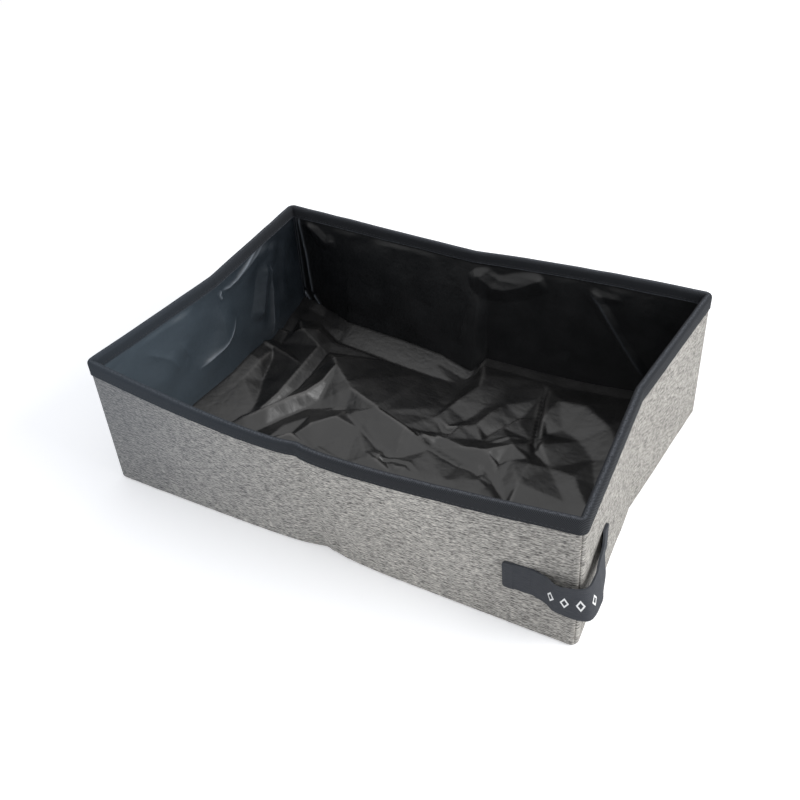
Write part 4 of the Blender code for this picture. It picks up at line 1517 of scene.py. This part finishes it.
# Places where the floor is crushed into small facets: X, Y and reach in millimetres, and strength
CRUSHED = (
    (-10, -42, 26, 1.0), (86, -14, 26, 1.0), (30, 30, 24, 0.7), (60, 52, 26, 0.7), (-98, 12, 18, 0.6),
    (-60, -4, 16, 0.6),
    (10, 78, 18, 0.6), (-190, 100, 22, 0.7), (-60, -70, 40, 0.6), (60, -80, 50, 0.8),
    (-150, -90, 40, 0.7), (150, -90, 40, 0.7),
)


PINCH_SHIFT_MM = (0.8, 3.2)  # from a pinched crease's groove to its ridge
PINCH_WIDTHS_MM = (1.9, 2.4)  # of the groove and of the ridge


def pinched(path_mm: tuple[Pair, ...], depth_mm: float = 1.0) -> tuple[Fold, Fold]:
    """A crease pressed tight: a groove along the path, and a ridge as high as it is deep just behind it."""
    (shift_x, shift_y), (groove, ridge) = PINCH_SHIFT_MM, PINCH_WIDTHS_MM
    behind = tuple((x + shift_x, y + shift_y) for x, y in path_mm)
    return Fold(path_mm, -depth_mm, groove, SOFT, 0.25), Fold(behind, depth_mm, ridge, SOFT, 0.3)


FLOOR_PINCHES = (
    *pinched(((-7, 8.5), (18, -5.7), (40, -12), (61, -16), (78, -20)), 1.1),
    *pinched(((-102, -44), (-73, -52), (-42, -58.5), (-11, -59.5))),
    *pinched(((-28, -35), (-13, -41), (4, -37), (15, -37.5), (30, -44)), 1.1),
    *pinched(((85, 1), (98, -24), (110, -40)), 1.1),
    *pinched(((-57, -6), (-17, -30), (8, -39)), 0.6),
    *pinched(((-103, -9), (-79, 11), (-72, 14)), 0.9),
    *pinched(((68, 14), (84, 25), (101, 41)), 0.7),
    *pinched(((13, 9), (30, 2)), 0.9),
)


@frozen
class FloorCloth:
    """The loose floor of the lining, crumpled as it was shaken out, with its edge turned up at the walls."""

    shape: TrayShape
    gap: float = 1.2 * MM
    level: float = 3.6 * MM
    turn_up: float = 12.0 * MM
    left_slopes: Pair = (0.35, 0.05)
    left_step: Pair = (60.0 * MM, 80.0 * MM)
    back_slopes: Pair = (0.3, 0.12)
    back_step: Pair = (4.0 * MM, 14.0 * MM)
    spacing: float = 1.7 * MM
    soften: float = 0.95 * MM
    facets: float = 0.6 * MM
    crush: float = 0.28 * MM
    # painted highlight along the floor's convex crests: the blur that finds a crest, the crest height of a
    # full highlight, its strength, and the share of that height that gets none
    crest_reach: float = 2.4 * MM
    crest_height: float = 0.7 * MM
    crest_highlight: float = 0.22
    crest_least: float = 0.3
    calm: float = 0.07
    facet_size: float = 19.0 * MM
    crush_size: float = 7.0 * MM
    tuck: float = 1.25
    tuck_from: float = 0.75

    def corners(self) -> Pair:
        """Half the length and half the width between the linings."""
        shape = self.shape
        inset = shape.lining_face + self.gap
        return shape.half_length - inset, shape.half_width - inset

    def network(self) -> tuple[Array, list[tuple[int, int, int]]]:
        """Triangles between the creases.

        Returns:
            The corner points with their heights in metres, and the triangles as triples of points.
        """
        half_x, half_y = self.corners()
        points, edges = [], []
        for crease in FLOOR_CREASES:
            first = len(points)
            x, y, z = np.array(crease).T * MM
            s, t = self.shape.shares(x, y, z, self.shape.lining_face + self.gap, 1.0)
            points += list(zip(s * half_x, t * half_y, z))
            edges += [(i, i + 1) for i in range(first, len(points) - 1)]
        core_x, core_y = half_x - self.turn_up, half_y - self.turn_up
        left, back, right, front = (FLOOR_EDGES[w] for w in (Wall.LEFT, Wall.BACK, Wall.RIGHT, Wall.FRONT))
        rim = [(-core_x, p * core_y, h * MM) for p, h in left]
        rim += [(p * core_x, core_y, h * MM) for p, h in back]
        rim += [(core_x, p * core_y, h * MM) for p, h in reversed(right)]
        rim += [(p * core_x, -core_y, h * MM) for p, h in reversed(front)]
        first = len(points)
        points += rim
        edges += [(first + i, first + (i + 1) % len(rim)) for i in range(len(rim))]
        table = np.array(points)
        flat = [Vector((x, y)) for x, y in table[:, :2].tolist()]
        found, _, triangles, origin, _, _ = delaunay_2d_cdt(flat, edges, [], 0, TINY)
        plan = np.array([tuple(v) for v in found])
        heights = np.array([
            table[list(sources), 2].mean() if len(sources) else self.crossing(place, table, edges)
            for place, sources in zip(plan, origin)
        ])
        return np.column_stack([plan, heights]), [tuple(t) for t in triangles]

    @staticmethod
    def crossing(place: Array, table: Array, edges: list[tuple[int, int]]) -> float:
        """Height where creases cross: the mean of the heights of those that pass the place."""
        ends = np.array(edges)
        start, end = table[ends[:, 0]], table[ends[:, 1]]
        line = end[:, :2] - start[:, :2]
        share = np.clip(((place - start[:, :2]) * line).sum(axis=1) / (line**2).sum(axis=1), 0, 1)
        away = np.linalg.norm(start[:, :2] + share[:, None] * line - place, axis=1)
        near = away < away.min() + 10 * TINY
        return float((start[:, 2] + share * (end[:, 2] - start[:, 2]))[near].mean())

    def folded(self, x: Array, y: Array) -> Array:
        """Height over the crease network: flat in each triangle, by its corners' shares of the point."""
        corners, triangles = self.network()
        height = np.zeros(x.shape)
        for triangle in triangles:
            (ax, ay, az), (bx, by, bz), (cx, cy, cz) = corners[list(triangle)]
            whole = (by - cy) * (ax - cx) + (cx - bx) * (ay - cy)
            if abs(whole) < TINY**2:
                continue
            first = ((by - cy) * (x - cx) + (cx - bx) * (y - cy)) / whole
            second = ((cy - ay) * (x - cx) + (ax - cx) * (y - cy)) / whole
            third = 1 - first - second
            within = (first >= -TINY) & (second >= -TINY) & (third >= -TINY)
            height = np.where(within, first * az + second * bz + third * cz, height)
        return height

    @staticmethod
    def blurred(height: Array, spread: float) -> Array:
        """Rounds every crease a little: a bell-shaped mean over spread grid steps, both ways."""
        reach = max(1, int(3 * spread))
        bell = np.exp(-0.5 * (np.arange(-reach, reach + 1) / spread) ** 2)
        bell /= bell.sum()
        for axis in (0, 1):
            padded = np.pad(height, [(reach, reach) if i == axis else (0, 0) for i in (0, 1)], mode="edge")
            height = np.apply_along_axis(lambda row: np.convolve(row, bell, mode="valid"), axis, padded)
        return height

    @staticmethod
    def crushed(x: Array, y: Array) -> Array:
        """How strongly each place is crushed: by a bell curve round each spot."""
        spots = [
            strength * np.exp(-((x / MM - a) ** 2 + (y / MM - b) ** 2) / reach**2)
            for a, b, reach, strength in CRUSHED
        ]
        return np.max(spots, axis=0)

    def lines(self, half: float) -> tuple[Array, Array, Array]:
        """Places along one direction: distance from the middle, rise of the turned-up edge, and its turn.

        The sheet runs level to the turn-up's start, then goes up a quarter circle to the wall.
        """
        level = half - self.turn_up
        whole = level + self.turn_up * math.pi / 2
        count = 2 * round(whole / self.spacing) + 1
        run = np.linspace(-whole, whole, count)
        turn = np.maximum(np.abs(run) - level, 0) / self.turn_up
        plan = np.sign(run) * (np.minimum(np.abs(run), level) + self.turn_up * np.sin(turn))
        return plan, self.turn_up * (1 - np.cos(turn)), turn / (math.pi / 2)

    def build(self) -> None:
        """Makes the floor."""
        shape = self.shape
        half_x, half_y = self.corners()
        plan_x, rise_x, turn_x = self.lines(half_x)
        plan_y, rise_y, turn_y = self.lines(half_y)
        (x, y), (up_x, up_y) = grid_of(plan_x, plan_y), grid_of(rise_x, rise_y)
        core_x = np.clip(x, -(half_x - self.turn_up), half_x - self.turn_up)
        core_y = np.clip(y, -(half_y - self.turn_up), half_y - self.turn_up)
        height = self.blurred(self.folded(core_x, core_y), self.soften / self.spacing)
        near = np.maximum(*grid_of(turn_x, turn_y))
        busy = (self.calm + (1 - self.calm) * self.crushed(x, y)) * (1 - near)
        height = height + self.facets * busy * crumple(x, y, self.facet_size, 43)
        height = height + self.crush * busy * crumple(x, y, self.crush_size, 47)
        up_x = np.where(x < 0, np.interp(y, self.left_step, self.left_slopes) * np.abs(x - core_x), up_x)
        up_y = np.where(y > 0, np.interp(x, self.back_step, self.back_slopes) * np.abs(y - core_y), up_y)
        lift = up_x + up_y - up_x * up_y / self.turn_up
        z = np.maximum(height, self.level) + lift + relief_of(FLOOR_PINCHES, x, y)
        tucked = ease((near - self.tuck_from) / (1 - self.tuck_from))
        inset = shape.lining_face + self.gap * (1 - self.tuck * tucked)
        place_x, place_y = shape.inside(x / half_x, y / half_y, z, inset, 1.0)
        surface = Surface.grid(joined(place_x, place_y, z), joined(x, y), False)
        # a highlight painted along the convex crests, none on the turned-up edge
        crest = height - self.blurred(height, self.crest_reach / self.spacing)
        highlit = np.clip(crest / self.crest_height - self.crest_least, 0, 1)
        surface.pale = self.crest_highlight * highlit * (1 - near)
        piece = make_object("floor_cloth", [surface], [FLOOR_COAT])
        thicken(piece, shape.lining_thickness)
        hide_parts("floor_lining")
        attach(piece, "front_wall")
        shape.gather(piece, shape.lining_face - shape.lining_thickness)


@frozen
class BaseCloth:
    """The canvas base, with a folded and sewn hem on its underside."""

    shape: TrayShape
    inset: float = 1.3 * MM
    thickness: float = 1.0 * MM
    spacing: float = 3.0 * MM
    hem: float = 9.0 * MM
    hem_height: float = 0.5 * MM
    hem_blend: float = 1.5 * MM
    wave: float = 0.12 * MM
    wave_size: float = 40.0 * MM

    def build(self) -> None:
        """Makes the base: a thin closed sheet, hollow by the hem's height inside its hem.

        Past a corner's hinge each point is drawn in towards it, to the corner's radius.
        """
        shape = self.shape
        half_x, half_y = shape.half_length, shape.half_width
        s = np.linspace(-1, 1, 2 * round(half_x / self.spacing) + 1)
        t = np.linspace(-1, 1, 2 * round(half_y / self.spacing) + 1)
        s, t = grid_of(s, t)
        x, y = shape.inside(s, t, np.zeros_like(s), self.inset)
        edge = np.minimum((1 - np.abs(s)) * half_x, (1 - np.abs(t)) * half_y)
        hinge_x, hinge_y = shape.hinge_x, shape.hinge_y
        over_x, over_y = np.abs(s) * half_x - hinge_x, np.abs(t) * half_y - hinge_y
        corner = np.hypot(np.maximum(over_x, 0), np.maximum(over_y, 0))
        pull = np.minimum(1.0, shape.corner_radius / np.maximum(corner, TINY))

        def drawn_in(v: Array, hinge: float) -> Array:
            """A coordinate drawn in towards the corner's hinge."""
            drawn = np.minimum(np.abs(v), hinge) + np.maximum(np.abs(v) - hinge, 0) * pull
            return np.where(corner > 0, np.sign(v) * drawn, v)

        x, y = drawn_in(x, hinge_x), drawn_in(y, hinge_y)
        wave = self.wave * (1 + cloud(x, y, self.wave_size, 3))
        under = self.hem_height * ease((edge - self.hem) / self.hem_blend) + wave
        surface = Surface.grid(joined(x, y, under), joined(x, y), True)
        piece = make_object("base_canvas", [surface], [CANVAS])
        thicken(piece, self.thickness)
        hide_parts("base_panel")
        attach(piece, "front_wall")
        shape.gather(piece, self.inset)


@frozen
class CornerStrap:
    """The webbing strap: sewn down at both ends, standing off the corner between them."""

    shape: TrayShape
    width: float = 26.0 * MM
    thickness: float = 1.4 * MM
    middle_height: float = 57.0 * MM
    front_reach: float = 56.0 * MM
    side_reach: float = 62.0 * MM
    sewn: float = 20.0 * MM
    flare: float = 0.3
    standoff: float = 10.2 * MM
    gap: float = 0.3 * MM
    end_round: float = 2.2 * MM
    hem: float = 8.0 * MM
    hem_height: float = 0.6 * MM
    droop: float = 0.7 * MM
    steps: int = 9
    rows: int = 15
    side_sewn: float = 9.0 * MM
    droop_blend: float = 26.0 * MM
    cup: float = 0.5 * MM
    cup_blend: float = 20.0 * MM
    edge_lift: float = 0.15 * MM
    edge_reach: float = 1.0 * MM
    sewing: Stitching = Stitching(pitch=2.8 * MM, length=2.0 * MM, radius=0.22 * MM)
    sewing_margin: float = 2.2 * MM
    thread_step: float = 0.8 * MM
    front_shares: tuple[Pair, ...] = ((0.86, 0.06), (0.55, 0.36), (0.22, 0.82))
    side_shares: tuple[Pair, ...] = ((0.10, 0.86), (0.34, 0.72), (0.66, 0.5), (0.9, 0.18))
    mark_places: tuple[float, ...] = (39.5 * MM, 50.0 * MM, 61.0 * MM, 72.5 * MM)
    mark_width: float = 6.4 * MM
    mark_height: float = 9.6 * MM
    mark_stroke: float = 0.42
    mark_points: int = 33
    mark_shift: float = 2e-3
    mark_proud: float = 0.12 * MM
    mark_sunk: float = 0.1 * MM

    def guides(self, height: float) -> Array:
        """Points that the strap's middle passes at a height, from its front end to its side end."""
        on_wall = self.gap + self.thickness / 2
        shape = self.shape
        flare = 1 - self.flare * (height - self.middle_height) / (self.width / 2)

        def front(run: float, off: float) -> Array:
            """A point off the front wall, a run back from the corner's hinge."""
            return shape.place(Wall.FRONT, np.array(shape.hinge_x - run), np.array(-off), np.array(height))

        def side(run: float, off: float) -> Array:
            """A point off the side wall, which stands off less towards the strap's high edge."""
            flared = np.array(on_wall + (off - on_wall) * flare)
            return shape.place(Wall.RIGHT, np.array(run - shape.side_half), -flared, np.array(height))

        front_end = self.front_reach - shape.corner_radius
        side_end = self.side_reach - shape.corner_radius
        front_free, side_free = front_end - self.sewn, side_end - self.side_sewn
        found = [front(front_end - share * self.sewn, on_wall) for share in (0, 0.5, 1)]
        found += [front(run * front_free, on_wall + off * self.standoff) for run, off in self.front_shares]
        found.append(side(-shape.corner_radius * math.pi / 4, on_wall + self.standoff))
        found += [side(run * side_free, on_wall + off * self.standoff) for run, off in self.side_shares]
        found += [side(side_free + share * self.side_sewn, on_wall) for share in (0, 0.5, 1)]
        return np.array(found)

    def sheet(self) -> tuple[Array, Array, Array]:
        """The strap's middle surface, with its places along and across.

        Its low and high edge lines are smooth curves through the guides, and the rows between lie on
        straight lines across. Both ends have rounded corners, and the free part droops a little.
        """
        low = smooth_line(self.guides(self.middle_height - self.width / 2), self.steps)
        high = smooth_line(self.guides(self.middle_height + self.width / 2), self.steps)
        middle = (low + high) / 2
        run = np.concatenate([[0.0], np.cumsum(np.linalg.norm(np.diff(middle, axis=0), axis=1))])
        to_end = np.minimum(run, run[-1] - run)
        cut = np.clip(self.end_round - to_end, 0, self.end_round)
        trim = (self.end_round - np.sqrt(self.end_round**2 - cut**2)) / self.width
        across = np.linspace(0, 1, self.rows)
        share = trim[:, None] + (1 - 2 * trim[:, None]) * across
        points = low[:, None] * (1 - share[..., None]) + high[:, None] * share[..., None]
        free = ease((to_end - self.sewn) / self.droop_blend)
        points[..., 2] -= self.droop * free[:, None]
        return points, run, (share - 0.5) * self.width

    def build(self) -> None:
        """Makes the strap with its stitches, and the row of plain marks printed on it."""
        points, run, across = self.sheet()
        out = unit(np.cross(np.gradient(points, axis=0), np.gradient(points, axis=1)))
        to_end = np.minimum(run, run[-1] - run)
        raised = self.hem_height * (1 - ease((to_end - self.hem) / MM))
        free = ease((to_end - self.sewn) / self.cup_blend)[:, None]
        cup = self.cup * (2 * across / self.width) ** 2 * free
        edge = self.edge_lift * np.exp(-(self.width / 2 - np.abs(across)) / self.edge_reach)
        face = points + out * (self.thickness / 2 + raised[:, None] - cup + edge)[..., None]
        back = points - out * (self.thickness / 2 + cup)[..., None]
        body = Surface.strip(face, back, joined(run[:, None], across))
        sewing = self.stitches(face, out, run)
        strap = make_object("corner_strap", [body, *sewing], [STRAP_CLOTH, GREY_THREAD], outward=True)
        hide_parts("strap_front_run", "strap_side_run")
        marks = make_object("strap_marks", self.marks(face, out, run), [INK], outward=True)
        for piece in (strap, marks):
            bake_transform(piece)

    @staticmethod
    def reading(grid: Array, run: Array, places: Array, row: Array) -> Array:
        """Values of a grid over the strap at places along it and rows across it, straight between knots."""
        i = np.clip(np.searchsorted(run, places) - 1, 0, len(run) - 2)
        s = ((places - run[i]) / (run[i + 1] - run[i]))[..., None]
        j = np.clip(np.floor(row).astype(int), 0, grid.shape[1] - 2)
        t = (row - j)[..., None]
        low = grid[i, j] * (1 - s) + grid[i + 1, j] * s
        high = grid[i, j + 1] * (1 - s) + grid[i + 1, j + 1] * s
        return low * (1 - t) + high * t

    def row_of(self, across: Array | float) -> Array:
        """The grid row at a distance from the strap's middle line."""
        return (np.asarray(across) / self.width + 0.5) * (self.rows - 1)

    def stitches(self, face: Array, out: Array, run: Array) -> list[Surface]:
        """A sewn rectangle with a row beside the hem, at each end of the strap."""
        margin, sewing = self.sewing_margin, self.sewing
        half = self.width / 2 - margin
        found = []
        for first, last in ((margin, self.sewn), (run[-1] - self.side_sewn, run[-1] - margin)):
            lengthwise = np.arange(first, last + TINY, sewing.pitch)
            crosswise = np.arange(-half, half + TINY, sewing.pitch)
            ones, zeros = np.ones(len(lengthwise)), np.zeros(len(crosswise))
            places = np.concatenate([lengthwise, lengthwise, zeros + first, zeros + last])
            rows = np.concatenate([ones * -half, ones * half, crosswise, crosswise])
            along = np.concatenate([ones, ones, zeros, zeros])
            centres = self.reading(face, run, places, self.row_of(rows))
            normal = unit(self.reading(out, run, places, self.row_of(rows)))
            next_row = self.row_of(rows + self.thread_step * (1 - along))
            ahead = unit(self.reading(face, run, places + self.thread_step * along, next_row) - centres)
            found.append(sewing.surface(centres, ahead, normal))
        return found

    def marks(self, face: Array, out: Array, run: Array) -> list[Surface]:
        """Plain upright lozenges drawn in ink, each a thin frame that follows the strap's face.

        Going round a lozenge, the height follows a triangle wave and the width the same wave a quarter
        turn on. The inner outline is the outer one made smaller. The start is shifted off the tip.
        """
        turn = np.linspace(0, 4, self.mark_points)[:, None]
        turn = self.mark_shift + turn * (1 - self.mark_shift / 2)
        v = 1 - np.abs((turn + 2) % 4 - 2)
        w = 1 - np.abs((turn + 1) % 4 - 2)
        size = np.array([[1.0, 1 - self.mark_stroke]])
        found = []
        for middle in self.mark_places:
            rows = v * size * self.mark_height / 2
            places = middle + w * size * self.mark_width / 2
            base = self.reading(face, run, places, self.row_of(rows))
            normal = self.reading(out, run, places, self.row_of(rows))
            ink, sunk = base + normal * self.mark_proud, base - normal * self.mark_sunk
            found.append(Surface.strip(ink, sunk, joined(places, rows)))
        return found


@frozen
class Stiffeners:
    """The boards inside the walls, which stay as the frame has them."""

    def dress(self) -> None:
        """Gives every board its material."""
        for name, node in frame["nodes"].items():
            if name.endswith("_board"):
                node.data.materials.clear()
                node.data.materials.append(BOARD.material())
                LOG.info("%s: dressed", name)


@frozen
class Studio:
    """A pale floor, a soft sky, one large lamp and the camera."""

    floor_size: float = 3.0
    sky: float = 0.78
    floor_glow: float = 0.32
    floor_level: float = -0.1 * MM
    lamp_place: Spot = (1.3, 0.10, 0.9)
    lamp_size: float = 0.9
    lamp_watts: float = 15.0
    camera_place: Spot = (0.3522, -0.5906, 0.5823)
    camera_turn: Spot = (52.163, 3.358, 28.860)
    lens: float = 44.34
    sensor: float = 36.0

    def build(self) -> None:
        """Makes the stage, the light and the camera."""
        scene = bpy.context.scene
        scene.view_settings.view_transform = "Standard"
        self.make_world(scene)
        self.make_floor()
        self.make_lamp()
        self.make_camera(scene)

    def make_world(self, scene: bpy.types.Scene) -> None:
        """A plain sky for light, and white where the camera, a mirror or glass sees it."""
        world = bpy.data.worlds.new("sky")
        world.use_nodes = True
        tree = world.node_tree
        tree.nodes.clear()
        light = add_node(tree, "Background", {"Color": colour("#f6f9ff"), "Strength": self.sky}).outputs[0]
        white = add_node(tree, "Background", {"Color": WHITE, "Strength": 1.0}).outputs[0]
        mixed = add_node(tree, "MixShader", {0: seen_directly(tree), 1: light, 2: white}).outputs[0]
        add_node(tree, "OutputWorld", {0: mixed})
        scene.world = world

    def make_floor(self) -> None:
        """A level sheet of white paper under the tray."""
        half = self.floor_size / 2
        mesh = bpy.data.meshes.new("paper_floor")
        plan = ((-half, -half), (half, -half), (half, half), (-half, half))
        mesh.from_pydata([(x, y, self.floor_level) for x, y in plan], [], [(0, 1, 2, 3)])
        made = bpy.data.materials.new("white_paper")
        made.use_nodes = True
        tree = made.node_tree
        plug(tree, tree.nodes["Principled BSDF"], {
            "Base Color": colour("#f7f7f7"), "Roughness": 0.95, "Specular IOR Level": 0.0,
            "Emission Color": WHITE,
            "Emission Strength": maths(tree, "MULTIPLY", seen_directly(tree), self.floor_glow),
        })
        mesh.materials.append(made)
        add_object("paper_floor", mesh)

    def make_lamp(self) -> None:
        """A square soft lamp that points at the tray."""
        data = bpy.data.lights.new("key_lamp", "AREA")
        data.shape = "SQUARE"
        data.size = self.lamp_size
        data.energy = self.lamp_watts
        lamp = add_object("key_lamp", data)
        lamp.location = self.lamp_place
        lamp.rotation_mode = "QUATERNION"
        lamp.rotation_quaternion = Vector(self.lamp_place).to_track_quat("Z", "Y")

    def make_camera(self, scene: bpy.types.Scene) -> None:
        """The camera at the photograph's angle."""
        data = bpy.data.cameras.new("camera")
        data.lens = self.lens
        data.sensor_width = self.sensor
        data.clip_start = 0.01
        camera = add_object("camera", data)
        camera.location = self.camera_place
        camera.rotation_euler = tuple(math.radians(a) for a in self.camera_turn)
        scene.camera = camera


def main() -> None:
    """Builds the studio and every sub-assembly of the tray."""
    logging.basicConfig(level=logging.INFO, format="%(message)s")
    Studio().build()
    shape = TrayShape.from_frame()
    for layer in (CanvasCover, WallLining, FloorCloth, RimTape, BaseCloth, CornerStrap):
        layer(shape).build()
    Stiffeners().dress()


if __name__ == "__main__":
    main()
